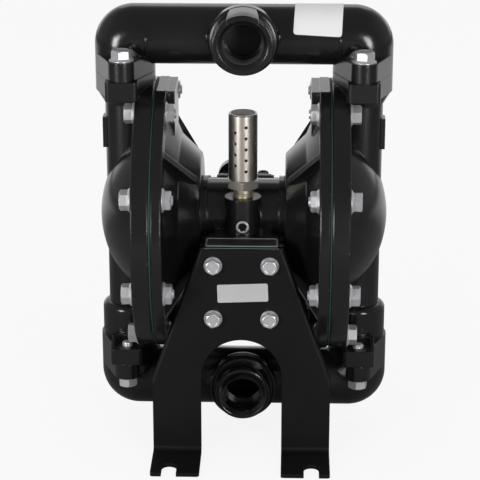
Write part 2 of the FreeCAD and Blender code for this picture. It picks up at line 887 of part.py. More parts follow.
def fluid_cap_hollows():
    column = size.column_offset
    inner = size.dome_radius - size.dome_wall
    mouth = fluid_face + size.mouth_depth
    step = (inner * inner - (mouth - size.dome_centre) * (mouth - size.dome_centre)).root()
    chamber = revolve(
        "fluid_cap_chamber",
        [(fluid_face, 0), (fluid_face, size.mouth_radius), (mouth, size.mouth_radius),
         (mouth, step, {"arc": inner, "left": False}), (size.dome_centre + inner, 0)],
        "x",
        spot=(0, 0, size.axis_height),
    )
    narrowing = size.cage_radius - size.duct_radius
    inlet = revolve(
        "fluid_cap_inlet_way",
        [(0, 0), (size.cage_radius, 0), (size.cage_radius, cage_height()),
         (size.duct_radius, cage_height() + narrowing),
         (size.duct_radius, size.axis_height - size.bottom_joint_height),
         (0, size.axis_height - size.bottom_joint_height)],
        "z",
        spot=(column, 0, size.bottom_joint_height),
    )
    outlet = cylinder(
        "fluid_cap_outlet_way", size.duct_radius, size.top_joint_height - size.axis_height,
        (column, 0, size.axis_height),
    )
    return [chamber, inlet, outlet, seat_recess("fluid_cap_outlet_recess", size.top_joint_height)]


def joint_holes(name):
    """Tapped bolt holes through the diamond flanges at both ends of the chamber's column."""
    holes = []
    for end in (1, -1):
        depth = end * size.joint_bolt_spread
        holes.append(cylinder(
            name + "_top_hole", tapped_bolt, size.top_joint_depth,
            (size.column_offset, depth, size.top_joint_height - size.top_joint_depth),
        ))
        holes.append(cylinder(
            name + "_bottom_hole", tapped_bolt, size.bottom_joint_depth,
            (size.column_offset, depth, size.bottom_joint_height),
        ))
    return holes


# Air cap


def air_cap():
    face = size.chamber_face
    wall = size.air_cap_wall
    flange_back = face - size.air_flange_depth
    hub_bore = size.spigot_radius + size.thread_clearance
    bevel = size.ring_chamfer
    soft = {"round": size.cast_round}
    shell = revolve(
        "air_cap_shell",
        [(size.hub_face, hub_bore), (size.hub_face, size.hub_radius, soft),
         (size.shoulder_face, size.shoulder_radius, soft), (flange_back, size.air_cone_radius),
         (flange_back, size.ring_radius - bevel), (flange_back + bevel, size.ring_radius),
         (face - bevel, size.ring_radius), (face, size.ring_radius - bevel), (face, size.mouth_radius),
         (size.shoulder_face + wall, size.shoulder_radius + wall),
         (size.hub_face + wall, size.hub_radius - wall / 2), (size.hub_face + wall, hub_bore)],
        "x",
        spot=(0, 0, size.axis_height),
    )
    drill_ring(shell, size.ring_bolt_circle, clear_bolt, size.ring_bolt_count)
    ribs = [air_cap_rib(index) for index in range(4)]
    flats = [rim_flat("top", 1), rim_flat("bottom", -1)]
    trimmed = cut("air_cap_trimmed", shell, flats)
    pads = [rim_pad("top", 1), rim_pad("bottom", -1)]
    whole = fuse("air_cap_whole", [trimmed] + pads + ribs)
    pin_hole = cylinder(
        "air_cap_pin_hole", size.pilot_pin_radius + size.bolt_clearance, wall * 2,
        (size.hub_face - wall / 2, 0, size.axis_height + size.pilot_pin_offset), "+x",
    )
    screw_bore = size.cap_screw_radius + size.bolt_clearance
    screw_hole = cylinder("air_cap_screw_drill", screw_bore, wall * 2, (0, 0, 0))
    screw_holes = copies("air_cap_screw_holes", screw_hole, cap_screw_spots(size.hub_face - wall / 2))
    keep_pair(cut("air_cap", whole, [pin_hole, screw_holes]), "air_cap")


def rim_band(name, near, far, half, low, high, side):
    """Block across the top of the air cap's rim, or across its bottom."""
    bottom, top = (low, high) if side > 0 else (-high, -low)
    return box(name, (near, -half, size.axis_height + bottom), (far, half, size.axis_height + top))


def rim_flat(name, side):
    """Room above the flat on the air cap's rim."""
    return rim_band(
        f"air_cap_{name}_flat", size.chamber_face - size.air_flange_depth * 2, size.chamber_face,
        size.ring_radius, size.rim_flat_height, size.ring_radius * 2, side,
    )


def rim_pad(name, side):
    """Flat-topped block behind the air cap's flange, between two bolts."""
    flange_back = size.chamber_face - size.air_flange_depth
    pad = rim_band(
        f"air_cap_{name}_pad", flange_back - size.rim_pad_depth, flange_back + size.rim_pad_depth / 2,
        size.rim_pad_half_width, size.shoulder_radius + size.air_cap_wall,
        size.rim_flat_height - size.rim_pad_step, side,
    )
    hollow = cylinder(
        f"air_cap_{name}_pad_hollow", size.air_cone_radius - size.air_cap_wall, size.chamber_face,
        (size.shoulder_face + size.air_cap_wall, 0, size.axis_height), "+x",
    )
    return cut(f"air_cap_{name}_rim_pad", pad, [hollow])


def air_cap_rib(index):
    """Straight web from the hub to the flange, between two ring bolts."""
    flange_back = size.chamber_face - size.air_flange_depth
    root = size.air_cap_wall / 2
    corners = [
        (size.hub_face + root, size.hub_radius - root),
        (size.hub_face + root, size.hub_radius + size.rib_height),
        (flange_back, size.air_cone_radius + size.rib_end_height),
        (flange_back + root, size.air_cone_radius - root),
        (size.shoulder_face + root / 2, size.shoulder_radius),
    ]
    half = size.rib_thickness / 2
    return extrude(
        f"air_cap_rib_{index}", "XZ_Plane", corners, size.rib_thickness, offset=-half,
        spot=(0, 0, size.axis_height), turn=Rotation(X_AXIS, 45 + 90 * index),
    )


def cap_screw_spots(along, way="+x"):
    spots = []
    for index in range(4):
        across, up = around(size.cap_screw_circle, 45 + 90 * index)
        spots.append(((along, across, size.axis_height + up), TURNS[way]))
    return spots


def air_cap_screws():
    screw = socket_screw(
        "air_cap_screw", size.cap_screw_radius, size.cap_screw_length, size.cap_screw_head_radius,
        size.cap_screw_head,
    )
    spots = cap_screw_spots(size.hub_face + size.air_cap_wall)
    keep_pair(copies("air_cap_screws", screw, spots), "air_cap_screws")


def ring_fasteners():
    """Bolts enter from the fluid cap's side, and the nuts sit on the air cap's flange."""
    flange_back = size.chamber_face - size.air_flange_depth
    grip = flange_outer_face - flange_back
    bolt = hex_bolt(
        "ring_bolt", size.large_bolt_radius, grip + size.large_nut + size.bolt_end / 2, size.large_bolt_flats,
        size.large_head,
    )
    bolts = copies("ring_bolts", bolt,
                   ring_spots(flange_outer_face, TURNS["+x"], size.ring_bolt_circle, size.ring_bolt_count))
    keep_pair(bolts, "ring_bolts")
    nut = cut(
        "ring_nut",
        hexagon("ring_nut_hex", size.large_bolt_flats, size.large_nut, (0, 0, 0)),
        [cylinder("ring_nut_hole", tapped_bolt, size.large_nut, (0, 0, 0))],
    )
    nuts = copies("ring_nuts", nut,
                  ring_spots(flange_back, TURNS["-x"], size.ring_bolt_circle, size.ring_bolt_count))
    keep_pair(nuts, "ring_nuts")


# Manifolds


def elbow(name, radius, side, height, turn_down):
    """Quarter bend of a round tube, cut off at the bend's own axis."""
    half_chord = (radius * radius - size.elbow_bend * size.elbow_bend).root()
    corners = [(half_chord, 0, {"arc": radius, "large": True}), (-half_chord, 0)]
    turn = Rotation() if turn_down else Rotation(X_AXIS, 180)
    if side < 0:
        turn = Rotation(Z_AXIS, 180) * turn
    drop = -size.elbow_bend if turn_down else size.elbow_bend
    spot = (side * (size.column_offset - size.elbow_bend), 0, height + drop)
    return revolve(name, corners, "y", spot, turn, angle=90)


def tube_run(name, radius, height, joint_height, turn_down):
    """Tube along X with an elbow and a short leg at each end, down or up to the joint."""
    reach = size.column_offset - size.elbow_bend
    pieces = [cylinder(name + "_tube", radius, reach * 2, (-reach, 0, height), "+x")]
    for side in (1, -1):
        pieces.append(elbow(name + "_elbow", radius, side, height, turn_down))
        bend = height - size.elbow_bend if turn_down else height + size.elbow_bend
        low, high = (joint_height, bend) if turn_down else (bend, joint_height)
        pieces.append(cylinder(name + "_leg", radius, high - low, (side * size.column_offset, 0, low)))
    return fuse(name, pieces)


def port_boss(name, radius, rounding_radius, height):
    """Boss that swells from the tube into a wrench collar, then runs on to the port's face."""
    collar, thick = size.port_collar_reach, size.port_collar_depth
    soft = {"round": size.port_collar_round}
    return revolve(
        name,
        [(0, 0), (0, size.manifold_radius - size.port_collar_step),
         (collar - thick, size.port_collar_radius, soft), (collar, size.port_collar_radius, soft), (collar, radius),
         (size.port_reach, radius, {"round": rounding_radius}), (size.port_reach, 0)],
        "y",
        spot=(0, 0, height),
        turn=Rotation(Z_AXIS, 180),
    )


def port_hole(name, height):
    """Threaded port: a lead-in cone, the thread's bore and a narrower passage into the tube."""
    face = size.port_reach
    lead = size.port_mouth - size.port_thread_minor
    return revolve(
        name,
        [(0, 0), (0, size.port_passage), (face - size.port_depth, size.port_passage),
         (face - size.port_depth, size.port_thread_minor), (face - lead, size.port_thread_minor),
         (face, size.port_mouth), (face, 0)],
        "y",
        spot=(0, 0, height),
        turn=Rotation(Z_AXIS, 180),
    )


def top_manifold():
    height, joint = size.top_manifold_height, size.top_joint_height
    right = joint_flange("top_manifold_right_joint", joint, size.top_joint_depth)
    outside = fuse("top_manifold_outside", [
        tube_run("top_manifold_run", size.manifold_radius, height, joint, True),
        right,
        mirrored("top_manifold_left_joint", right),
        port_boss("top_manifold_port", size.top_port_radius, size.top_port_round, height),
    ])
    drill = cylinder("top_manifold_drill", clear_bolt, size.top_joint_depth * 2, (0, 0, 0))
    hollows = [
        tube_run("top_manifold_bore", size.manifold_bore, height, joint, True),
        port_hole("top_manifold_port_hole", height),
        copies("top_manifold_holes", drill, joint_spots(joint - size.bolt_clearance, Rotation())),
        copies("top_manifold_cages", ball_cage("outlet", height - joint), cage_spots(joint)),
    ]
    keep(cut("top_manifold", outside, hollows), "top_manifold")


def ball_cage(name, depth):
    return cylinder(f"{name}_cage", size.cage_radius, depth, (0, 0, 0))


def cage_spots(height):
    return [((side * size.column_offset, 0, height), Rotation()) for side in (1, -1)]


def bottom_manifold():
    height, joint = size.bottom_manifold_height, size.bottom_joint_height
    low = joint - size.bottom_joint_depth
    right = joint_flange("bottom_manifold_right_joint", low, size.bottom_joint_depth)
    outside = fuse("bottom_manifold_outside", [
        tube_run("bottom_manifold_run", size.manifold_radius, height, joint, False),
        right,
        mirrored("bottom_manifold_left_joint", right),
        port_boss("bottom_manifold_port", size.bottom_port_radius, size.bottom_port_round, height),
    ])
    drill = cylinder("bottom_manifold_drill", clear_bolt, size.bottom_joint_depth * 2, (0, 0, 0))
    recess = seat_recess("bottom_manifold_right_recess", joint)
    hollows = [
        tube_run("bottom_manifold_bore", size.manifold_bore, height, joint, False),
        port_hole("bottom_manifold_port_hole", height),
        copies("bottom_manifold_holes", drill, joint_spots(low - size.bolt_clearance, Rotation())),
        recess,
        mirrored("bottom_manifold_left_recess", recess),
    ]
    keep(cut("bottom_manifold", outside, hollows), "bottom_manifold")


def joint_bolts():
    top = large_bolt("top_bolt", size.top_joint_depth * 2 - size.bolt_end)
    above = size.top_joint_height + size.top_joint_depth
    keep(copies("top_manifold_bolts", top, joint_spots(above, Rotation())), "top_manifold_bolts")
    bottom = large_bolt("bottom_bolt", size.bottom_joint_depth * 2 + size.bolt_end)
    below = size.bottom_joint_height - size.bottom_joint_depth
    keep(copies("bottom_manifold_bolts", bottom, joint_spots(below, TURNS["-z"])), "bottom_manifold_bolts")


# Check valves


def check_valves():
    contact = size.seat_line_radius
    inner = size.seat_bore
    top, bottom = size.seat_depth, 0
    rebate_radius = size.seat_radius - 2 * size.seat_seal_thickness - size.thread_clearance
    seat = revolve(
        "ball_seat",
        [(inner, bottom), (size.seat_radius, bottom), (size.seat_radius, top - size.seat_rebate_depth),
         (rebate_radius, top - size.seat_rebate_depth), (rebate_radius, top),
         (contact + (contact - inner), top), (inner, top - 2 * (contact - inner))],
        "z",
    )
    ring = size.seat_radius - size.seat_seal_thickness
    seal = torus("seat_seal", ring, size.seat_seal_thickness, (0, 0, 0))
    joints = {"inlet": size.bottom_joint_height, "outlet": size.top_joint_height}
    for name, joint in joints.items():
        seats = copies(f"{name}_seats_group", seat, cage_spots(joint - size.seat_depth))
        keep(seats, f"{name}_ball_seats")
        seals = copies(f"{name}_seals_group", seal, cage_spots(joint - size.seat_seal_thickness))
        keep(seals, f"{name}_seat_seals")
        ball = doc.addObject("Part::Sphere", f"{name}_ball_shape")
        bind(ball, "Radius", size.ball_radius)
        place(ball, (size.column_offset, 0, joint + ball_rest_rise()))
        keep_pair(ball, f"{name}_ball")


# Centre body


def centre_body():
    axis = size.axis_height
    half = size.hub_face - size.hub_gasket_thickness
    collar = half - size.collar_length
    spigot = size.hub_face + size.spigot_length
    barrel = revolve(
        "centre_barrel",
        [(-spigot, 0), (-spigot, size.spigot_radius), (-half, size.spigot_radius), (-half, size.collar_radius),
         (-collar, size.collar_radius), (-collar, size.barrel_radius), (collar, size.barrel_radius),
         (collar, size.collar_radius), (half, size.collar_radius), (half, size.spigot_radius),
         (spigot, size.spigot_radius), (spigot, 0)],
        "x",
        spot=(0, 0, axis),
    )
    boss = cylinder(
        "exhaust_boss", size.exhaust_boss_radius, size.exhaust_boss_top - size.block_bottom,
        (0, -size.exhaust_offset, size.block_bottom),
    )
    block = centre_block()
    solid = fuse("centre_solid", [barrel, boss, block])
    keep(cut("centre_body", solid, centre_hollows(half, spigot)), "centre_body")


def centre_block():
    """Lower block with a deep waist on each side between its front and rear pads."""
    width, depth = size.block_half_width, size.block_half_depth
    pad = depth - size.block_waist
    waist, inner = width - size.waist_step, pad - size.waist_step
    soft = {"round": size.cast_round}
    corners = [
        (width, -depth), (width, -pad, soft), (waist, -inner, soft), (waist, inner, soft), (width, pad, soft),
        (width, depth), (-width, depth), (-width, pad, soft), (-waist, inner, soft), (-waist, -inner, soft),
        (-width, -pad, soft), (-width, -depth),
    ]
    return extrude(
        "centre_block", "XY_Plane", corners, size.block_top - size.block_bottom, spot=(0, 0, size.block_bottom)
    )


def centre_hollows(half, spigot):
    axis = size.axis_height
    gap = size.running_clearance
    seal_room = size.rod_radius + 2 * size.rod_seal_thickness + 4 * gap
    bushing = spigot - size.bushing_length
    seal_back = bushing - 2 * size.rod_seal_thickness - gap
    bore = revolve(
        "rod_bore",
        [(-spigot, 0), (-spigot, size.bushing_radius + gap), (-bushing, size.bushing_radius + gap),
         (-bushing, seal_room), (-seal_back, seal_room), (-seal_back, size.rod_radius + size.bolt_clearance),
         (seal_back, size.rod_radius + size.bolt_clearance), (seal_back, seal_room), (bushing, seal_room),
         (bushing, size.bushing_radius + gap), (spigot, size.bushing_radius + gap), (spigot, 0)],
        "x",
        spot=(0, 0, axis),
    )
    pilot = cylinder(
        "pilot_bore", size.pilot_pin_radius + gap, spigot * 2,
        (-spigot, 0, axis + size.pilot_pin_offset), "+x",
    )
    back_wall = size.chamber_wall
    chambers = [
        box("front_chamber", (-size.chamber_half_width, -size.block_half_depth, size.chamber_low),
            (size.chamber_half_width, -back_wall, size.chamber_high)),
        box("rear_chamber", (-size.chamber_half_width, back_wall, size.chamber_low),
            (size.chamber_half_width, size.block_half_depth, size.chamber_high)),
    ]
    overrun = size.bore_overrun
    exhaust = cylinder(
        "exhaust_bore", size.neck_radius + size.thread_clearance,
        size.exhaust_boss_top - size.chamber_high + overrun,
        (0, -size.exhaust_offset, size.chamber_high - overrun),
    )
    plug = cylinder(
        "plug_bore", size.plug_radius + size.thread_clearance, size.plug_length + overrun,
        (0, -size.exhaust_offset - size.exhaust_boss_radius - overrun, axis), "+y",
    )
    depth = size.small_bolt_length
    foot_drill = cylinder("foot_bolt_drill", size.small_bolt_radius + size.thread_clearance, depth, (0, 0, 0))
    foot_holes = copies(
        "foot_bolt_holes", foot_drill,
        foot_spots(size.block_half_depth, "-y") + foot_spots(-size.block_half_depth, "+y"),
    )
    cap_drill = cylinder("cap_screw_drill", size.cap_screw_radius + size.thread_clearance,
                         size.cap_screw_length, (0, 0, 0))
    hole_start = half - size.cap_screw_length + size.air_cap_wall
    right_holes = copies("cap_screw_holes", cap_drill, cap_screw_spots(hole_start))
    valve_drill = cylinder("valve_screw_drill", size.cap_screw_radius + size.thread_clearance,
                           size.valve_screw_length - size.valve_flange_depth, (0, 0, 0))
    valve_holes = copies("valve_screw_holes", valve_drill, valve_screw_spots(size.block_top, "-z"))
    return [bore, pilot, exhaust, plug, foot_holes, right_holes,
            mirrored("cap_screw_holes_left", right_holes), valve_holes] + chambers


def hub_gaskets():
    thickness = size.hub_gasket_thickness
    ring = cut(
        "hub_gasket_ring",
        cylinder("hub_gasket_disc", size.collar_radius, thickness,
                 (size.hub_face - thickness, 0, size.axis_height), "+x"),
        [cylinder("hub_gasket_hole", size.spigot_radius + size.thread_clearance, thickness,
                  (size.hub_face - thickness, 0, size.axis_height), "+x"),
         cylinder("hub_gasket_pin_hole", size.pilot_pin_radius + size.bolt_clearance, thickness,
                  (size.hub_face - thickness, 0, size.axis_height + size.pilot_pin_offset), "+x"),
         copies("hub_gasket_screw_holes",
                cylinder("hub_gasket_drill", size.cap_screw_radius + size.bolt_clearance, thickness, (0, 0, 0)),
                cap_screw_spots(size.hub_face - thickness))],
    )
    keep_pair(ring, "hub_gasket")


# Diaphragms, rod and pilot pin

web_inner = size.chamber_face + size.diaphragm_rim / 2 - size.diaphragm_web / 2
web_outer = web_inner + size.diaphragm_web
rod_end = web_inner - size.inner_plate_depth


def diaphragm():
    """Flat rim clamped between the caps, a rolled working ring and a thick clamped centre."""
    face, rim = size.chamber_face, size.diaphragm_rim
    roll = fluid_face + size.roll_height
    under_roll = roll - size.diaphragm_web
    soft = {"round": size.roll_round}
    hole = size.rod_screw_radius + size.bolt_clearance
    middle = (size.roll_outer_radius + size.roll_inner_radius) / 2
    inner, outer = middle - size.roll_half_width, middle + size.roll_half_width
    body = revolve(
        "diaphragm_disc",
        [(web_inner, hole), (web_inner, size.roll_inner_radius), (under_roll, inner, soft),
         (under_roll, outer, soft), (face, size.roll_outer_radius), (face, size.diaphragm_radius),
         (face + rim, size.diaphragm_radius), (face + rim, size.roll_outer_radius), (roll, outer, soft),
         (roll, inner, soft), (web_outer, size.roll_inner_radius), (web_outer, hole)],
        "x",
        spot=(0, 0, size.axis_height),
    )
    drill_ring(body, size.ring_bolt_circle, clear_bolt, size.ring_bolt_count)
    keep_pair(body, "diaphragm")


def diaphragm_plates():
    hole = size.rod_screw_radius + size.bolt_clearance / 2
    inner = revolve(
        "inner_plate",
        [(rod_end, hole), (rod_end, size.plate_radius - size.inner_plate_depth),
         (web_inner, size.plate_radius, {"round": size.plate_chamfer}), (web_inner, hole)],
        "x",
        spot=(0, 0, size.axis_height),
    )
    keep_pair(inner, "inner_plate")
    face = web_outer + size.outer_plate_depth
    outer = revolve(
        "outer_plate",
        [(web_outer, hole), (web_outer, size.outer_plate_radius),
         (web_outer + size.outer_plate_depth / 4, size.outer_plate_radius, {"round": size.plate_chamfer}),
         (face, size.rod_screw_flats, {"round": size.outer_plate_round}), (face, hole)],
        "x",
        spot=(0, 0, size.axis_height),
    )
    keep_pair(outer, "outer_plate")


def rod_and_bushings():
    axis = size.axis_height
    gap = size.running_clearance
    tapped = size.rod_screw_radius + size.thread_clearance
    grip = size.rod_screw_grip + size.rod_screw_spare
    rod = cut(
        "rod",
        cylinder("rod_bar", size.rod_radius, rod_end * 2, (-rod_end, 0, axis), "+x"),
        [cylinder("rod_right_thread", tapped, grip, (rod_end - grip, 0, axis), "+x"),
         cylinder("rod_left_thread", tapped, grip, (-rod_end, 0, axis), "+x")],
    )
    keep(rod, "diaphragm_rod")
    head = web_outer + size.outer_plate_depth
    screw = hex_bolt(
        "rod_screw", size.rod_screw_radius, head - rod_end + size.rod_screw_grip, size.rod_screw_flats,
        size.rod_screw_head,
    )
    keep_pair(copies("rod_screws", screw, [((head, 0, axis), TURNS["+x"])]), "rod_screw")
    spigot = size.hub_face + size.spigot_length
    start = spigot - size.bushing_length
    bushing = cut(
        "rod_bushing",
        cylinder("rod_bushing_bar", size.bushing_radius, size.bushing_length, (start, 0, axis), "+x"),
        [cylinder("rod_bushing_hole", size.rod_radius + gap, size.bushing_length, (start, 0, axis), "+x")],
    )
    keep_pair(bushing, "rod_bushing")
    ring = size.rod_radius + size.rod_seal_thickness + 2 * gap
    seal = torus("rod_seal", ring, size.rod_seal_thickness,
                 (start - size.rod_seal_thickness - gap / 2, 0, axis), "+x")
    keep_pair(seal, "rod_seal")


def pilot_pin():
    reach = rod_end - size.pilot_pin_gap
    pin = cylinder(
        "pilot_pin_bar", size.pilot_pin_radius, reach * 2,
        (-reach, 0, size.axis_height + size.pilot_pin_offset), "+x",
    )
    keep(pin, "pilot_pin")


# Air valve


def valve_screw_spots(height, way):
    return [
        ((side * size.valve_screw_offset, depth, height), TURNS[way])
        for side in (1, -1)
        for depth in (size.valve_screw_front, size.valve_screw_rear)
    ]


def valve_block():
    low = size.block_top + size.valve_gasket_thickness
    half, soft = size.valve_half_length, {"round": size.cast_round}
    corners = [(half, size.valve_front, soft), (half, size.valve_rear, soft),
               (-half, size.valve_rear, soft), (-half, size.valve_front, soft)]
    flange = extrude("valve_flange", "XY_Plane", corners, size.valve_flange_depth, spot=(0, 0, low))
    depth, height = size.valve_axis_depth, size.valve_axis_height
    barrel = cylinder("valve_barrel", size.valve_barrel_radius, half * 2, (-half, depth, height), "+x")
    inlet_x, inlet_z = -size.inlet_offset, size.inlet_height
    boss = cylinder(
        "inlet_boss", size.inlet_boss_radius, size.inlet_boss_length, (inlet_x, size.valve_rear, inlet_z), "+y",
    )
    drill = cylinder("valve_flange_drill", size.cap_screw_radius + size.bolt_clearance,
                     size.valve_flange_depth * 2, (0, 0, 0))
    end = size.valve_rear + size.inlet_boss_length
    thread_depth = size.bushing_thread_length + size.bore_overrun
    thread = cylinder("inlet_thread", size.bushing_thread_radius + size.thread_clearance, thread_depth,
                      (inlet_x, end - thread_depth, inlet_z), "+y")
    way = cylinder("inlet_way", size.inlet_bore / 2, end - depth, (inlet_x, depth, inlet_z), "+y")
    bore = cylinder("sleeve_bore", size.sleeve_radius + size.thread_clearance, half * 2,
                    (-half, depth, height), "+x")
    holes = copies("valve_flange_holes", drill, valve_screw_spots(low, "+z"))
    block = cut("valve_block", fuse("valve_block_solid", [flange, barrel, boss]), [thread, way, bore, holes])
    keep(block, "valve_block")


def valve_gasket():
    half, soft = size.valve_half_length, {"round": size.cast_round}
    corners = [(half, size.valve_front, soft), (half, size.valve_rear, soft),
               (-half, size.valve_rear, soft), (-half, size.valve_front, soft)]
    sheet_piece = extrude("valve_gasket_sheet", "XY_Plane", corners, size.valve_gasket_thickness,
                          spot=(0, 0, size.block_top))
    drill = cylinder("valve_gasket_drill", size.cap_screw_radius + size.bolt_clearance,
                     size.valve_gasket_thickness, (0, 0, 0))
    holes = copies("valve_gasket_holes", drill, valve_screw_spots(size.block_top, "+z"))
    keep(cut("valve_gasket", sheet_piece, [holes]), "valve_gasket")


def valve_screws():
    screw = socket_screw("valve_screw", size.cap_screw_radius, size.valve_screw_length,
                         size.cap_screw_head_radius, size.cap_screw_head)
    above = size.block_top + size.valve_gasket_thickness + size.valve_flange_depth
    keep(copies("valve_screws_group", screw, valve_screw_spots(above, "+z")), "valve_screws")


def valve_spool():
    """Sleeve fixed in the valve block, spool sliding in it, and a screwed plug at each end."""
    spot = (0, size.valve_axis_depth, size.valve_axis_height)
    gap = size.running_clearance
    reach = size.sleeve_half_length
    sleeve = cut(
        "sleeve",
        cylinder("sleeve_bar", size.sleeve_radius, reach * 2, (-reach, spot[1], spot[2]), "+x"),
        [cylinder("sleeve_hole", size.spool_radius + gap, reach * 2, (-reach, spot[1], spot[2]), "+x")],
    )
    keep(sleeve, "valve_sleeve")
    end, land, wide, waist = size.spool_half_length, size.spool_land, size.spool_radius, size.spool_waist
    spool = revolve(
        "spool",
        [(-end, 0), (-end, wide), (-end + land, wide), (-end + land, waist), (-land / 2, waist),
         (-land / 2, wide), (land / 2, wide), (land / 2, waist), (end - land, waist), (end - land, wide),
         (end, wide), (end, 0)],
        "x",
        spot=spot,
    )
    keep(spool, "valve_spool")
    neck, collar = size.sleeve_radius, size.sleeve_radius + size.valve_plug_collar_step
    collar_end = size.valve_half_length + size.valve_plug_collar_length
    plug_end = size.valve_half_length + size.valve_plug_reach
    start = reach + size.seat_clearance
    stem = revolve(
        "valve_plug_stem",
        [(start, 0), (start, neck), (size.valve_half_length, neck), (size.valve_half_length, collar),
         (collar_end, collar), (collar_end, neck), (plug_end, neck), (plug_end, 0)],
        "x",
        spot=spot,
    )
    head = hexagon("valve_plug_hex", size.valve_plug_flats, size.valve_plug_head,
                   (plug_end, spot[1], spot[2]), "+x")
    keep_pair(fuse("valve_plug", [stem, head]), "valve_end_plug")


def air_inlet_bushing():
    x, z = -size.inlet_offset, size.inlet_height
    face = size.valve_rear + size.inlet_boss_length
    solid = fuse("air_inlet_solid", [
        cylinder("air_inlet_thread", size.bushing_thread_radius, size.bushing_thread_length,
                 (x, face - size.bushing_thread_length, z), "+y"),
        hexagon("air_inlet_hex", size.bushing_flats, size.bushing_head, (x, face, z), "+y"),
    ])
    length = size.bushing_thread_length + size.bushing_head
    hole = cylinder("air_inlet_hole", size.inlet_bore, length, (x, face - size.bushing_thread_length, z), "+y")
    keep(cut("air_inlet", solid, [hole]), "air_inlet_bushing")


# Exhaust muffler and pipe plug


def muffler():
    x, y = 0, -size.exhaust_offset
    seat = size.exhaust_boss_top + size.neck_visible
    length = size.neck_engagement + size.neck_visible
    neck = cylinder("muffler_neck", size.neck_radius, length, (x, y, seat - length))
    nut = hexagon("muffler_hex", size.muffler_flats, size.muffler_hex_depth, (x, y, seat))
    foot = seat + size.muffler_hex_depth
    inner = size.muffler_radius - size.muffler_wall
    spigot = cylinder("muffler_spigot", inner - size.thread_clearance, size.muffler_spigot, (x, y, foot))
    way = cylinder("muffler_way", size.element_bore, length + size.muffler_hex_depth + size.muffler_spigot,
                   (x, y, seat - length))
    keep(cut("muffler_base", fuse("muffler_base_solid", [neck, nut, spigot]), [way]), "muffler_base")
    keep(muffler_shell(foot, (x, y)), "muffler_shell")
    element_foot = foot + size.muffler_spigot
    element_radius = inner - size.element_gap
    element_top = foot + size.muffler_length - size.muffler_wall - size.seat_clearance
    element = cut(
        "muffler_core",
        cylinder("muffler_core_bar", element_radius, element_top - element_foot, (x, y, element_foot)),
        [cylinder("muffler_core_hole", size.element_bore, element_top - element_foot - size.muffler_spigot,
                  (x, y, element_foot))],
    )
    keep(element, "muffler_element")


def muffler_shell(foot, spot):
    """Thin drawn cup over the element, with staggered rows of round holes."""
    body = new_body("muffler_cup", (spot[0], spot[1], foot))
    outer, wall, top = size.muffler_radius, size.muffler_wall, size.muffler_length
    profile = outline(body, "XZ_Plane", [
        (outer - wall, 0), (outer, 0), (outer, top, {"round": size.muffler_round}), (0, top), (0, top - wall),
        (outer - wall, top - wall),
    ])
    feature(body, "Revolution", profile, ReferenceAxis=(profile, ["V_Axis"]), Angle=360)
    columns, rows = int(number(size.muffler_hole_columns)), int(number(size.muffler_hole_rows))
    drill = cylinder("muffler_drill", size.muffler_hole_radius, outer * 2, (0, 0, 0))
    spots = []
    for column in range(columns):
        turn = Rotation(Z_AXIS, 14 + 360 / columns * column) * TURNS["-y"]
        lift = size.muffler_hole_pitch / 2 * (column % 2)
        for row in range(rows - column % 2):
            height = foot + size.muffler_first_row + size.muffler_hole_pitch * row + lift
            spots.append(((spot[0], spot[1], height), turn))
    return cut("muffler_perforated", body, [copies("muffler_holes", drill, spots)])


def pipe_plug():
    face = -size.exhaust_offset - size.exhaust_boss_radius
    solid = cylinder("pipe_plug_bar", size.plug_radius, size.plug_length, (0, face, size.axis_height), "+y")
    key = hexagon("pipe_plug_key", size.plug_key, size.plug_length / 2, (0, face, size.axis_height), "+y")
    keep(cut("pipe_plug_cut", solid, [key]), "pipe_plug")


# Foot brackets


def foot_spots(depth, way):
    half = size.foot_bolt_spacing / 2
    return [
        ((side * half, depth, size.foot_bolt_centre + rise * half), TURNS[way])
        for side in (1, -1)
        for rise in (1, -1)
    ]


def edges_where(shape, test):
    """Names of the straight edges whose middle passes a test."""
    return [
        f"Edge{index}"
        for index, edge in enumerate(shape.Edges, start=1)
        if len(edge.Vertexes) == 2 and test((edge.Vertexes[0].Point + edge.Vertexes[1].Point) * 0.5)
    ]


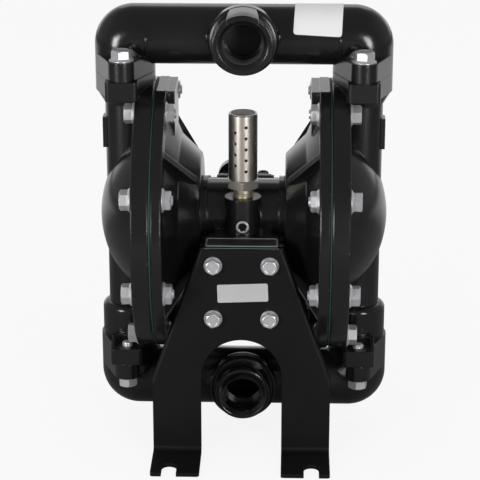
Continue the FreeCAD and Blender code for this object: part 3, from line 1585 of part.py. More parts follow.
def foot_bracket():
    """One bent sheet: bolted plate, two legs, folded slanted sides and two slotted toes."""
    face, sheet_metal = size.bracket_face, size.sheet_thickness
    body = new_body("bracket")
    top, corner = size.bracket_top, size.leg_corner_height
    wide, outer, inner = size.bracket_top_half_width, size.leg_outer, size.leg_inner
    soft = {"round": size.toe_round}
    plate = outline(body, "XZ_Plane", [
        (wide, top), (-wide, top), (-outer, corner), (-outer, 0), (-inner, 0),
        (-inner, size.arch_height, {"arc": inner, "left": False, "half": True}), (inner, size.arch_height), (inner, 0),
        (outer, 0), (outer, corner),
    ], offset=face - sheet_metal)
    feature(body, "Pad", plate, Length=sheet_metal)
    for side in (1, -1):
        fold = outline(body, "XZ_Plane", [
            (side * wide, top), (side * outer, corner), (side * (outer - sheet_metal), corner),
            (side * (wide - sheet_metal), top),
        ], offset=size.fold_back)
        feature(body, "Pad", fold, Length=size.fold_depth - sheet_metal)
        toe = outline(body, "XY_Plane", [
            (side * inner, -face), (side * outer, -face), (side * outer, -face - size.toe_reach, soft),
            (side * inner, -face - size.toe_reach, soft),
        ])
        feature(body, "Pad", toe, Length=sheet_metal)
        slot_half = size.slot_width / 2
        slot_front = -face - size.toe_reach
        slot_end = slot_front + size.slot_length - slot_half
        slot = outline(body, "XY_Plane", [
            (side * size.slot_offset + slot_half, slot_front - 1),
            (side * size.slot_offset + slot_half, slot_end, {"arc": slot_half, "half": True}),
            (side * size.slot_offset - slot_half, slot_end),
            (side * size.slot_offset - slot_half, slot_front - 1),
        ])
        feature(body, "Pocket", slot, Type="ThroughAll", SideType="Symmetric")
    half = size.foot_bolt_spacing / 2
    for side in (1, -1):
        for rise in (1, -1):
            spot = (side * half, size.foot_bolt_centre + rise * half)
            hole = circle(body, "XZ_Plane", spot, size.small_bolt_radius + size.bolt_clearance)
            feature(body, "Pocket", hole, Type="ThroughAll", SideType="Symmetric")
    doc.recompute()
    round_bends(body, face, sheet_metal)
    keep(body, "front_foot_bracket")
    rear = copies("rear_bracket", body, [((0, 0, 0), Rotation(Z_AXIS, 180))])
    keep(rear, "rear_foot_bracket")


def round_bends(body, face, sheet_metal):
    """Round the sheet's bends: outside and inside at the toes, then along the folded sides."""
    front, back = -number(face), -number(face - sheet_metal)
    thick, inner, outer = number(sheet_metal), number(size.leg_inner), number(size.leg_outer)
    low, high = number(size.leg_corner_height), number(size.bracket_top)

    def near(first, second):
        return abs(first - second) < 0.01

    def across_leg(spot):
        return inner < abs(spot.x) < outer and not near(abs(spot.x), inner) and not near(abs(spot.x), outer)

    bends = {
        "heel": (size.bend_radius + sheet_metal, lambda p: near(p.y, back) and near(p.z, 0) and across_leg(p)),
        "instep": (size.bend_radius, lambda p: near(p.y, front) and near(p.z, thick) and across_leg(p)),
        "sides": (size.fold_round, lambda p: near(p.y, front) and low < p.z < high and across_leg(p)),
    }
    for name, (radius, test) in bends.items():
        base = body.Tip
        names = edges_where(base.Shape, test)
        if not names:
            raise RuntimeError(f"the bend named {name} was not found on the foot bracket")
        rounded = body.newObject("PartDesign::Fillet", "bracket_" + name)
        rounded.Base = (base, names)
        bind(rounded, "Radius", radius)
        doc.recompute()


def foot_gaskets():
    half, depth = size.block_half_width, size.block_half_depth
    thickness = size.gasket_thickness
    sheet_piece = box(
        "foot_gasket_sheet", (-half, -depth - thickness, size.block_bottom + size.gasket_margin),
        (half, -depth, size.block_top - size.gasket_margin)
    )
    window = box(
        "foot_gasket_window", (-size.chamber_half_width, -depth - thickness, size.chamber_low),
        (size.chamber_half_width, -depth, size.chamber_high),
    )
    drill = cylinder("foot_gasket_drill", size.small_bolt_radius + size.bolt_clearance, thickness, (0, 0, 0))
    holes = copies("foot_gasket_holes", drill, foot_spots(-depth, "-y"))
    gasket = cut("foot_gasket", sheet_piece, [window, holes])
    keep(gasket, "front_gasket")
    keep(copies("rear_gasket_turned", gasket, [((0, 0, 0), Rotation(Z_AXIS, 180))]), "rear_gasket")


def foot_bolts():
    bolt = flange_bolt("foot_bolt", size.small_bolt_radius, size.small_bolt_length, size.small_bolt_flats,
                       size.small_flange_radius, size.small_head)
    front = copies("front_foot_bolts_group", bolt, foot_spots(-size.bracket_face, "-y"))
    keep(front, "front_foot_bolts")
    rear = copies("rear_foot_bolts_group", bolt, foot_spots(size.bracket_face, "+y"))
    keep(rear, "rear_foot_bolts")


def check_document():
    """Stop if any object failed, if a cut removed nothing or if a sub-part isn't a valid solid."""
    doc.recompute()
    for item in doc.Objects:
        if "Invalid" in item.State or "Error" in item.State:
            raise RuntimeError(f"{item.Name} failed: {item.State}")
        if item.isDerivedFrom("Part::Cut") and item.Shape.Volume > item.Base.Shape.Volume - 0.01:
            raise RuntimeError(f"{item.Name} cuts nothing")
        if item.TypeId == "PartDesign::Pocket" and item.Shape.Volume > item.BaseFeature.Shape.Volume - 0.01:
            raise RuntimeError(f"{item.Name} cuts nothing")
    for item in nodes:
        if item.Shape.isNull() or not item.Shape.isValid() or not item.Shape.Solids:
            raise RuntimeError(f"{item.Label} is not a valid solid")


def write_parts():
    os.makedirs("parts", exist_ok=True)
    for item in nodes:
        item.Shape.exportStep(os.path.join("parts", item.Label + ".step"))
    print(len(nodes), "sub-parts written")


fluid_cap()
air_cap()
air_cap_screws()
ring_fasteners()
top_manifold()
bottom_manifold()
joint_bolts()
check_valves()
centre_body()
hub_gaskets()
diaphragm()
diaphragm_plates()
rod_and_bushings()
pilot_pin()
valve_block()
valve_gasket()
valve_screws()
valve_spool()
air_inlet_bushing()
muffler()
pipe_plug()
foot_bracket()
foot_gaskets()
foot_bolts()
check_document()
write_parts()
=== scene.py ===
import math

import bmesh
import bpy
from mathutils import Matrix, Vector


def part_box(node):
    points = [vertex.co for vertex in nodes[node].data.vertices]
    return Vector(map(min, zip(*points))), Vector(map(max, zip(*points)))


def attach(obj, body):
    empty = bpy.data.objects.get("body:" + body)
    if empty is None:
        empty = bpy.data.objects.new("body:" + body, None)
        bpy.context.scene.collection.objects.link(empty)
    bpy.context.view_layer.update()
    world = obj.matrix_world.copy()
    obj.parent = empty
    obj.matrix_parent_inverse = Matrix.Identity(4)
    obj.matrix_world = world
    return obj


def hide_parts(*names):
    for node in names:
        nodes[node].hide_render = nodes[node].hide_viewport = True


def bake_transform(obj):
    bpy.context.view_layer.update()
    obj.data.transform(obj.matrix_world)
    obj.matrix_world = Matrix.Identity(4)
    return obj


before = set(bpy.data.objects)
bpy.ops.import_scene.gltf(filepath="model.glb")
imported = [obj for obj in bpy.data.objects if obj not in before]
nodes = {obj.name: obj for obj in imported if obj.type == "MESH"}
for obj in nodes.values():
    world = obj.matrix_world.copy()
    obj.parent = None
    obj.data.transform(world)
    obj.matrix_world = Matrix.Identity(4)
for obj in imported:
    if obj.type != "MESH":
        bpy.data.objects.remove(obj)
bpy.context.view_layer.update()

# Sizes of the solids, in metres
AXIS = Vector((0, 0, (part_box("diaphragm_rod")[0][2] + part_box("diaphragm_rod")[1][2]) / 2))
RING_CIRCLE = 0.092
RING_BOLTS = 8
COLUMN_X = 0.087
JOINT_BOLT_Y = 0.032
FOOT_BOLT_HALF = 0.0205
VALVE_SCREW_X = 0.0135
M8 = {"major": 0.004, "pitch": 0.00125, "flats": 0.013, "collar": 0.0088, "head": 0.008, "nut": 0.0065}
M6 = {"major": 0.003, "pitch": 0.001, "flats": 0.010, "collar": 0.0067, "head": 0.0055}
VALVE_SCREW = {"major": 0.0025, "head_radius": 0.00425, "head": 0.005, "key": 0.004}
MUFFLER = {"flats": 0.022, "hex_depth": 0.007, "neck_radius": 0.0075, "neck_pitch": 0.0014}
PLUG_KEY = 0.005
MANIFOLD_RADIUS = 0.022
PORT_BORE = 0.01515
PORT_THREAD_PITCH = 0.0022
BLOCK_TOP = 0.162
BRACKET_SHEET = 0.003

# The outlet's wrench collar stands above its tube.
COLLAR_STEP = 0.0035
OUTLET_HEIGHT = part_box("top_manifold")[1][2] - MANIFOLD_RADIUS - COLLAR_STEP
INLET_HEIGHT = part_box("bottom_manifold")[0][2] + MANIFOLD_RADIUS

# A diaphragm bends between the rim of its plates and the rim of its chamber.
GORES = 8
CLAMPED_RADIUS = 0.0445
RIM_RADIUS = 0.074

# The camera looks down at the front from a little to the right.
TARGET = Vector((-0.0029, 0.0, 0.145))
CAMERA_DISTANCE = 1.4
CAMERA_PITCH = math.radians(19)
CAMERA_YAW = math.radians(1.65)
FOCAL_PIXELS = 1850
IMAGE_WIDTH = 480
SENSOR_WIDTH = 36

# Colour of the metal where paint has chipped
BARE_METAL = (0.5, 0.5, 0.5)

# Light of the room, as a share of white
AMBIENT_LIGHT = 0.55
FRONT_LIGHT = 0.12
SIDE_LIGHT = 0.24
CEILING_LIGHT = 0.13
BACK_LIGHT = 0.35

# Floor: how much of its colour is plain white, and its colour to the camera and to the light it throws back
FLOOR_GLOW = 0.88
FLOOR_SEEN = (0.86, 0.86, 0.86)
FLOOR_SHADED = (0.24, 0.24, 0.24)
FLOOR_GAP = 0.0002

# Lamps: place, width and height, power and the point they look at
LAMPS = {
    "front_softbox_right": ((0.6, -1.13, 0.3), (0.36, 0.4), 5, (0, 0, 0.2)),
    "front_softbox_left": ((-0.79, -1.01, 0.3), (0.36, 0.4), 6, (0, 0, 0.2)),
    "back_softbox": ((0, 1.3, 1.15), (1.3, 0.5), 1.2, (0, 0, 0.3)),
}


# Node helpers


def new_material(name):
    material = bpy.data.materials.new(name)
    material.use_nodes = True
    material.node_tree.nodes.clear()
    return material, material.node_tree


def add(tree, kind, **inputs):
    """A shader node with some of its sockets set. Words in a name are joined by underscores."""
    node = tree.nodes.new(kind)
    for name, value in inputs.items():
        node.inputs[name.replace("_", " ")].default_value = value
    return node


def link(tree, source, target):
    tree.links.new(source, target)


def noise(tree, place, scale, detail=3.0, roughness=0.55):
    node = add(tree, "ShaderNodeTexNoise", Scale=scale, Detail=detail, Roughness=roughness)
    link(tree, place, node.inputs["Vector"])
    return node.outputs["Fac"]


def spread(tree, source, low, high, from_low=0.0, from_high=1.0):
    node = add(tree, "ShaderNodeMapRange", From_Min=from_low, From_Max=from_high, To_Min=low, To_Max=high)
    link(tree, source, node.inputs["Value"])
    return node.outputs["Result"]


def blend_colors(tree, factor, first, second):
    """Mix two colours, each a tuple or another node's output."""
    node = tree.nodes.new("ShaderNodeMix")
    node.data_type = "RGBA"
    link(tree, factor, node.inputs["Factor"])
    for source, socket in ((first, node.inputs["A"]), (second, node.inputs["B"])):
        if isinstance(source, tuple):
            socket.default_value = (*source, 1)
        else:
            link(tree, source, socket)
    return node.outputs["Result"]


def calculate(tree, operation, first, second):
    """The result of an operation on two values, each a float or another node's output."""
    node = tree.nodes.new("ShaderNodeMath")
    node.operation = operation
    for source, socket in zip((first, second), node.inputs):
        if isinstance(source, float):
            socket.default_value = source
        else:
            link(tree, source, socket)
    return node.outputs["Value"]


def nicked(tree, where, paint, amount):
    """Bare specks where an edge is sharp and the paint has chipped."""
    geometry = tree.nodes.new("ShaderNodeNewGeometry")
    wide = add(tree, "ShaderNodeBevel", Radius=0.0007)
    wide.samples = 4
    facing = tree.nodes.new("ShaderNodeVectorMath")
    facing.operation = "DOT_PRODUCT"
    link(tree, geometry.outputs["Normal"], facing.inputs[0])
    link(tree, wide.outputs["Normal"], facing.inputs[1])
    sharp = spread(tree, facing.outputs["Value"], 1.0, 0.0, 0.9, 0.985)
    specks = spread(tree, noise(tree, where, 420.0, 2.0, 0.6), 0.0, 1.0, 0.66, 0.7)
    share = calculate(tree, "MULTIPLY", calculate(tree, "MULTIPLY", sharp, specks), amount)
    return blend_colors(tree, share, paint, BARE_METAL)


def surface(name, color, second_color, roughness, metallic=0.0, grain=900.0, bump=0.15, bump_depth=0.00008,
            coat=0.0, coat_roughness=0.05, blotch=25.0, edge=0.0006, specular=0.5, stretch=(1, 1, 1), wear=0.0):
    """A material whose colour, roughness and fine relief vary over the surface, with small nicks along edges."""
    material, tree = new_material(name)
    where = tree.nodes.new("ShaderNodeTexCoord").outputs["Object"]
    stretched = add(tree, "ShaderNodeMapping", Scale=stretch)
    link(tree, where, stretched.inputs["Vector"])
    fine = noise(tree, stretched.outputs["Vector"], grain)
    broad = noise(tree, where, blotch, 4.0)
    shader = add(tree, "ShaderNodeBsdfPrincipled", Metallic=metallic, Coat_Weight=coat,
                 Coat_Roughness=coat_roughness, Specular_IOR_Level=specular)
    paint = blend_colors(tree, broad, color, second_color)
    if wear:
        paint = nicked(tree, where, paint, wear)
    link(tree, paint, shader.inputs["Base Color"])
    link(tree, spread(tree, broad, roughness[0], roughness[1], 0.3, 0.7), shader.inputs["Roughness"])
    rounding = add(tree, "ShaderNodeBevel", Radius=edge)
    rounding.samples = 4
    relief = add(tree, "ShaderNodeBump", Strength=bump, Distance=bump_depth)
    link(tree, fine, relief.inputs["Height"])
    link(tree, rounding.outputs["Normal"], relief.inputs["Normal"])
    link(tree, relief.outputs["Normal"], shader.inputs["Normal"])
    link(tree, rounding.outputs["Normal"], shader.inputs["Coat Normal"])
    output = tree.nodes.new("ShaderNodeOutputMaterial")
    link(tree, shader.outputs["BSDF"], output.inputs["Surface"])
    return material


# Materials

CASTING = surface("gloss_paint", (0.006, 0.006, 0.007), (0.010, 0.010, 0.011), (0.18, 0.26), grain=420.0,
                  bump=0.3, bump_depth=0.00022, coat=0.5, coat_roughness=0.14, edge=0.0012, wear=0.6)
# Lighter grey copy of the black paint that stands in for light: a painted reflection on the outlet boss's top and a
# painted sheen on the block's cast border
PAINTED_SHEEN_CASTING = surface("painted_sheen_grey", (0.18, 0.18, 0.183), (0.23, 0.23, 0.233), (0.2, 0.3), grain=420.0,
                         bump=0.3, bump_depth=0.0002, coat=0.4, coat_roughness=0.14, edge=0.0008)
BRACKET = surface("satin_paint", (0.006, 0.006, 0.0065), (0.008, 0.008, 0.0085), (0.34, 0.42), grain=1400.0,
                  bump=0.3, bump_depth=0.0001, edge=0.0007, specular=0.25)
ZINC = surface("bright_zinc", (0.88, 0.88, 0.9), (0.76, 0.76, 0.79), (0.3, 0.42), metallic=0.72, grain=1600.0,
               bump=0.2, bump_depth=0.00005, edge=0.0004, blotch=160.0)
NICKEL = surface("drawn_nickel", (0.84, 0.78, 0.7), (0.76, 0.7, 0.62), (0.31, 0.37), metallic=1.0, grain=700.0,
                 bump=0.12, bump_depth=0.00002, edge=0.0003, blotch=60.0, stretch=(1, 1, 0.05))
# A darker copy of the muffler's nickel for its lid, which faces up: painted shade
SHADED_LID = surface("painted_shade_nickel", (0.2, 0.19, 0.18), (0.15, 0.145, 0.14), (0.45, 0.6), metallic=1.0, grain=900.0,
              bump=0.3, bump_depth=0.00004, edge=0.0003, blotch=120.0)
NECK = surface("yellow_zinc", (0.82, 0.74, 0.56), (0.66, 0.61, 0.48), (0.34, 0.46), metallic=0.9, grain=1200.0,
               bump=0.2, bump_depth=0.00004, edge=0.0003, blotch=160.0)
# Black oxide on the valve screws and plugs; the same black paints shade into the pipe plug's recess
BLACK_OXIDE_AND_RECESS_SHADE = surface("black_oxide", (0.02, 0.02, 0.022), (0.03, 0.03, 0.033), (0.28, 0.4), metallic=0.6,
                      grain=1800.0, bump=0.2, bump_depth=0.00005, edge=0.0003, blotch=200.0)
GREEN_RUBBER = surface("green_rubber", (0.012, 0.06, 0.045), (0.008, 0.042, 0.032), (0.5, 0.65), grain=1500.0,
                       bump=0.4, bump_depth=0.0001, edge=0.0003, blotch=120.0)
MINT_SHEET = surface("mint_gasket_sheet", (0.36, 0.6, 0.5), (0.3, 0.52, 0.43), (0.5, 0.65), grain=1500.0,
                     bump=0.3, bump_depth=0.00006, edge=0.0002, blotch=200.0)
BLACK_RUBBER = surface("black_rubber", (0.012, 0.012, 0.012), (0.02, 0.02, 0.02), (0.5, 0.7), grain=1200.0,
                       bump=0.4, bump_depth=0.0001, edge=0.0003)
ALUMINIUM = surface("turned_aluminium", (0.78, 0.78, 0.79), (0.7, 0.7, 0.72), (0.25, 0.4), metallic=1.0,
                    grain=1500.0, bump=0.2, bump_depth=0.00005, edge=0.0004)
STEEL = surface("ground_steel", (0.62, 0.62, 0.64), (0.55, 0.55, 0.57), (0.12, 0.22), metallic=1.0, grain=2200.0,
                bump=0.15, bump_depth=0.00003, edge=0.0003)
BRONZE = surface("bearing_bronze", (0.6, 0.4, 0.18), (0.5, 0.32, 0.14), (0.3, 0.42), metallic=1.0, grain=1400.0,
                 bump=0.25, bump_depth=0.00006, edge=0.0003)
PLATE = surface("bare_silver_plate", (0.5, 0.5, 0.51), (0.56, 0.56, 0.57), (0.35, 0.5), grain=1500.0, bump=0.15,
                bump_depth=0.00004, edge=0.0002, blotch=80.0)
LABEL = surface("bare_white_film", (0.86, 0.86, 0.86), (0.92, 0.92, 0.92), (0.3, 0.42), grain=900.0, bump=0.1,
                bump_depth=0.00004, edge=0.0002, blotch=60.0)
THREAD = surface("cut_thread", (0.16, 0.16, 0.16), (0.24, 0.24, 0.24), (0.25, 0.4), metallic=0.8, grain=900.0,
                 bump=0.2, bump_depth=0.00006, edge=0.0002)
RAW_CASTING = surface("raw_casting", (0.012, 0.012, 0.0125), (0.02, 0.02, 0.0205), (0.5, 0.62), grain=500.0,
                      bump=0.7, bump_depth=0.0004, edge=0.0004, blotch=220.0, specular=0.3)
BORE = surface("raw_bore", (0.1, 0.1, 0.102), (0.14, 0.14, 0.142), (0.5, 0.65), grain=500.0, bump=0.5,
               bump_depth=0.0003, edge=0.0004, blotch=120.0, specular=0.3)
FELT = surface("dark_felt", (0.05, 0.045, 0.04), (0.035, 0.03, 0.028), (0.8, 0.95), grain=700.0, bump=0.8,
               bump_depth=0.0003, edge=0.0003)
IVORY = surface("ivory_plastic", (0.78, 0.77, 0.72), (0.7, 0.69, 0.64), (0.4, 0.55), grain=1100.0, bump=0.3,
                bump_depth=0.0001, edge=0.0004)

FINISHES = {
    CASTING: ["centre_body", "air_cap_left", "air_cap_right", "fluid_cap_left", "fluid_cap_right", "top_manifold",
              "bottom_manifold", "valve_block"],
    BRACKET: ["front_foot_bracket", "rear_foot_bracket"],
    ZINC: ["top_manifold_bolts", "bottom_manifold_bolts", "ring_bolts_left", "ring_bolts_right",
           "ring_nuts_left", "ring_nuts_right", "front_foot_bolts", "rear_foot_bolts", "pipe_plug",
           "air_inlet_bushing"],
    NICKEL: ["muffler_shell"],
    NECK: ["muffler_base"],
    BLACK_OXIDE_AND_RECESS_SHADE: ["air_cap_screws_left", "air_cap_screws_right", "valve_end_plug_left", "valve_end_plug_right",
                  "valve_screws"],
    GREEN_RUBBER: ["diaphragm_left", "diaphragm_right"],
    MINT_SHEET: ["front_gasket", "rear_gasket"],
    BLACK_RUBBER: ["hub_gasket_left", "hub_gasket_right", "rod_seal_left", "rod_seal_right", "valve_gasket",
                   "inlet_seat_seals", "outlet_seat_seals", "inlet_ball_left", "inlet_ball_right",
                   "outlet_ball_left", "outlet_ball_right"],
    ALUMINIUM: ["inner_plate_left", "inner_plate_right", "outer_plate_left", "outer_plate_right",
                "valve_sleeve"],
    STEEL: ["diaphragm_rod", "rod_screw_left", "rod_screw_right", "pilot_pin", "valve_spool"],
    BRONZE: ["rod_bushing_left", "rod_bushing_right"],
    IVORY: ["inlet_ball_seats", "outlet_ball_seats"],
    FELT: ["muffler_element"],
}


for material, names in FINISHES.items():
    for name in names:
        nodes[name].data.materials.clear()
        nodes[name].data.materials.append(material)


# Turned pieces: rings of points round an axis, each ring a function from an angle to (radius, height)

SEGMENTS = 48


def hex_radius(flats, angle):
    """Distance from the middle of a hexagon to its side in a direction."""
    return flats / 2 / math.cos((angle + math.pi / 6) % (math.pi / 3) - math.pi / 6)


def round_ring(radius, height):
    return lambda angle: (radius, height)


def hex_ring(flats, height, extra=0.0):
    return lambda angle: (hex_radius(flats, angle) + extra, height)


def chamfered_ring(flats, crown, height, way=1):
    """The curved edge where a hexagon's sides meet the cone that chamfers its end."""
    slope = math.tan(math.radians(30))
    return lambda angle: (hex_radius(flats, angle), height - way * (hex_radius(flats, angle) - crown) * slope)


def thread_rings(major, pitch, low, high, depth=0.61, steps=6):
    """Rings of a screw thread from low to high, rising one pitch each turn."""
    rings = []
    count = max(2, math.ceil((high - low) / pitch * steps))
    for index in range(count + 1):
        height = low + (high - low) * index / count

        def ring(angle, height=height):
            phase = (height / pitch - angle / (2 * math.pi)) % 1
            wave = min(1.0, max(0.0, abs(phase - 0.5) * 2.6 - 0.15))
            return major - depth * pitch * (1 - wave), height

        rings.append(ring)
    return rings


def add_turned(builder, rings, place=Matrix(), segments=SEGMENTS, closed=False):
    """Add the skin of a turned piece. A closed one is a tube, and its last ring joins its first."""
    rows = []
    for ring in rings:
        row = []
        for step in range(segments):
            angle = 2 * math.pi * step / segments
            radius, height = ring(angle)
            point = Vector((radius * math.cos(angle), radius * math.sin(angle), height))
            row.append(builder.verts.new(place @ point))
        rows.append(row)
    join_rows(builder, rows + rows[:1] if closed else rows, True)
    if not closed:
        builder.faces.new(rows[0][::-1])
        builder.faces.new(rows[-1])


def finish_piece(name, builder, material, replaced=None, sharp=28, bend=None):
    """Turn a built mesh into a piece that rides on the pump, or, when bend is given, one left unattached with its
    transform baked.

    bend is the point where it would leave the rod's motion and the point where it would come to rest; only whether
    it is given is used.
    """
    mesh = bpy.data.meshes.new(name)
    bmesh.ops.recalc_face_normals(builder, faces=builder.faces)
    builder.to_mesh(mesh)
    builder.free()
    mesh.shade_smooth()
    mesh.set_sharp_from_angle(angle=math.radians(sharp))
    mesh.materials.append(material)
    piece = bpy.data.objects.new(name, mesh)
    bpy.context.scene.collection.objects.link(piece)
    if bend:
        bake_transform(piece)
    else:
        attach(piece, "pump")
    if replaced:
        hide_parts(replaced)
    return piece


def second_material(piece, material, chosen):
    """Give the faces whose middle is chosen another material."""
    piece.data.materials.append(material)
    for face in piece.data.polygons:
        if chosen(face.center):
            face.material_index = 1


def slice_by(builder, point, normal, clear_outer=False):
    """Cut a mesh by a plane, and drop what lies beyond it if asked."""
    bmesh.ops.bisect_plane(builder, geom=builder.verts[:] + builder.edges[:] + builder.faces[:],
                           plane_co=point, plane_no=normal, clear_outer=clear_outer)


def join_rows(builder, rows, closed=False):
    """Faces between neighbouring points of neighbouring rows. Closed rows run round and join their own ends."""
    for before, after in zip(rows, rows[1:]):
        for index in range(len(before) - (0 if closed else 1)):
            following = (index + 1) % len(before)
            builder.faces.new((before[index], before[following], after[following], after[index]))


def pointing(spot, way, turn=0.0):
    """Place something drawn along +Z at a spot, pointing along a direction."""
    along = Vector(way).to_track_quat("Z", "Y").to_matrix().to_4x4()
    return Matrix.Translation(Vector(spot)) @ along @ Matrix.Rotation(turn, 4, "Z")


def flange_bolt_rings(kind, length, threaded):
    """Hexagon flange bolt: bearing face at zero, head up, thread over the last of its length."""
    major, pitch, flats, collar, head = (kind[part] for part in ("major", "pitch", "flats", "collar", "head"))
    crown = flats * 0.47
    point = 0.8 * pitch
    rings = [round_ring(major - 0.7 * pitch, -length)]
    rings += thread_rings(major, pitch, -length + point, -length + threaded)
    rings += [
        round_ring(major, -length + threaded + pitch / 2), round_ring(major, 0), round_ring(collar - 0.0002, 0),
        round_ring(collar, 0.0002), round_ring(collar, 0.0007), hex_ring(flats, 0.0016, 0.0004),
        hex_ring(flats, 0.0021), chamfered_ring(flats, crown, head), round_ring(crown, head),
        round_ring(crown * 0.82, head), round_ring(crown * 0.74, head - 0.0004),
    ]
    return rings


def nut_rings(kind):
    """Hexagon flange nut as a closed tube, bearing face at zero."""
    flats, collar, height, bore = kind["flats"], kind["collar"], kind["nut"], kind["major"] + 0.0001
    crown = flats * 0.47
    return [
        round_ring(bore, 0), round_ring(collar - 0.0002, 0), round_ring(collar, 0.0002), round_ring(collar, 0.0007),
        hex_ring(flats, 0.0016, 0.0004), hex_ring(flats, 0.0021), chamfered_ring(flats, crown, height),
        round_ring(crown, height), round_ring(bore + 0.0007, height), round_ring(bore, height - 0.0006),
    ]


def socket_screw_rings(kind, length):
    """Socket head cap screw with a straight knurl and a hexagon recess."""
    major, head_radius, head, key = (kind[part] for part in ("major", "head_radius", "head", "key"))

    def knurled(height):
        return lambda angle: (head_radius - 0.00016 * abs(math.sin(14 * angle)), height)

    return [
        round_ring(major, -length), round_ring(major, 0), round_ring(head_radius - 0.0003, 0), knurled(0.0003),
        knurled(head - 0.0006), round_ring(head_radius - 0.0005, head), round_ring(key * 0.62, head),
        hex_ring(key, head - 0.0003), hex_ring(key, head * 0.45),
    ]


# Fasteners

THREADED = {"ring": 0.012, "manifold": 0.014, "foot": 0.009}


def fastener_set(node, spots, rings, way, material, segments=SEGMENTS, closed=False):
    """Stand detailed fasteners in for a node. Each is turned a little differently, as spanners leave them."""
    builder = bmesh.new()
    for index, spot in enumerate(spots):
        add_turned(builder, rings, pointing(spot, way, 0.4 + 1.9 * index), segments, closed)
    return finish_piece(node + "_detail", builder, material, node)


def span(node, axis):
    low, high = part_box(node)
    return low[axis], high[axis]


def bearing_face(node, axis, way, head):
    """Where a node's heads bear, for heads that point along an axis one way, and the length below them."""
    low, high = span(node, axis)
    return (high - head if way > 0 else low + head), high - low - head


def ring_bolts():
    pitch_angle = 2 * math.pi / RING_BOLTS
    for side, way in (("left", -1), ("right", 1)):
        for node, head, facing in ((f"ring_bolts_{side}", "head", way), (f"ring_nuts_{side}", "nut", -way)):
            bearing, length = bearing_face(node, 0, facing, M8[head])
            spots = []
            for step in range(RING_BOLTS):
                angle = (step + 0.5) * pitch_angle
                spots.append((bearing, RING_CIRCLE * math.sin(angle), AXIS.z + RING_CIRCLE * math.cos(angle)))
            nut = head == "nut"
            rings = nut_rings(M8) if nut else flange_bolt_rings(M8, length, THREADED["ring"])
            fastener_set(node, spots, rings, (facing, 0, 0), ZINC, closed=nut)


def manifold_bolts():
    for node, way in (("top_manifold_bolts", 1), ("bottom_manifold_bolts", -1)):
        bearing, length = bearing_face(node, 2, way, M8["head"])
        spots = [(side * COLUMN_X, end * JOINT_BOLT_Y, bearing) for side in (1, -1) for end in (1, -1)]
        rings = flange_bolt_rings(M8, length, THREADED["manifold"])
        fastener_set(node, spots, rings, (0, 0, way), ZINC)


def foot_bolts():
    for node, way in (("front_foot_bolts", -1), ("rear_foot_bolts", 1)):
        bearing, length = bearing_face(node, 1, way, M6["head"])
        middle = sum(span(node, 2)) / 2
        spots = [(across * FOOT_BOLT_HALF, bearing, middle + up * FOOT_BOLT_HALF)
                 for across in (1, -1) for up in (1, -1)]
        rings = flange_bolt_rings(M6, length, THREADED["foot"])
        fastener_set(node, spots, rings, (0, way, 0), ZINC)


def valve_screws():
    bearing, length = bearing_face("valve_screws", 2, 1, VALVE_SCREW["head"])
    front, rear = span("valve_screws", 1)
    inset = VALVE_SCREW["head_radius"]
    spots = [(side * VALVE_SCREW_X, depth, bearing) for side in (1, -1) for depth in (front + inset, rear - inset)]
    rings = socket_screw_rings(VALVE_SCREW, length)
    fastener_set("valve_screws", spots, rings, (0, 0, 1), BLACK_OXIDE_AND_RECESS_SHADE, 56)


ring_bolts()
manifold_bolts()
foot_bolts()
valve_screws()


# Muffler and plug on the exhaust boss


def muffler():
    """Hexagon and threaded neck in place of the base, and the crimped edge and lid of the shell."""
    low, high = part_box("muffler_base")
    shell_low, shell_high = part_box("muffler_shell")
    middle = Vector(((low[0] + high[0]) / 2, (low[1] + high[1]) / 2, shell_low[2]))
    flats, depth, neck = MUFFLER["flats"], MUFFLER["hex_depth"], MUFFLER["neck_radius"]
    crown, foot = flats * 0.485, low[2] - shell_low[2]
    rings = [round_ring(neck - 0.001, foot)]
    rings += thread_rings(neck, MUFFLER["neck_pitch"], foot + 0.001, -depth - 0.0035, 0.5)
    rings += [
        round_ring(neck - 0.0006, -depth - 0.003), round_ring(neck - 0.0006, -depth - 0.0004),
        round_ring(neck, -depth), round_ring(crown, -depth), chamfered_ring(flats, crown, -depth, -1),
        chamfered_ring(flats, crown, 0), round_ring(crown, 0), round_ring(0.0094, 0), round_ring(0.0094, 0.004),
    ]
    builder = bmesh.new()
    add_turned(builder, rings, pointing(middle, (0, 0, 1), math.radians(62)))
    base = finish_piece("muffler_base_detail", builder, NECK, "muffler_base")
    second_material(base, NICKEL, lambda spot: spot.z > shell_low[2] - depth - 0.0003)

    top = pointing((middle.x, middle.y, shell_high[2]), (0, 0, 1))
    builder = bmesh.new()
    crimp = [
        round_ring(0.0089, -0.0002), round_ring(0.0103, -0.0002), round_ring(0.01045, 0.0001),
        round_ring(0.0102, 0.00045), round_ring(0.0096, 0.00055), round_ring(0.0091, 0.0003),
    ]
    add_turned(builder, crimp, top, closed=True)
    finish_piece("muffler_crimp", builder, NICKEL, None)

    builder = bmesh.new()
    lid = [
        round_ring(0.0092, -0.0003), round_ring(0.0092, 0.0001), round_ring(0.0086, 0.00025),
        round_ring(0.005, 0.0003), round_ring(0.0015, 0.0003),
    ]
    add_turned(builder, lid, top)
    # The lid's darker nickel is painted shade
    finish_piece("muffler_lid", builder, SHADED_LID, None)


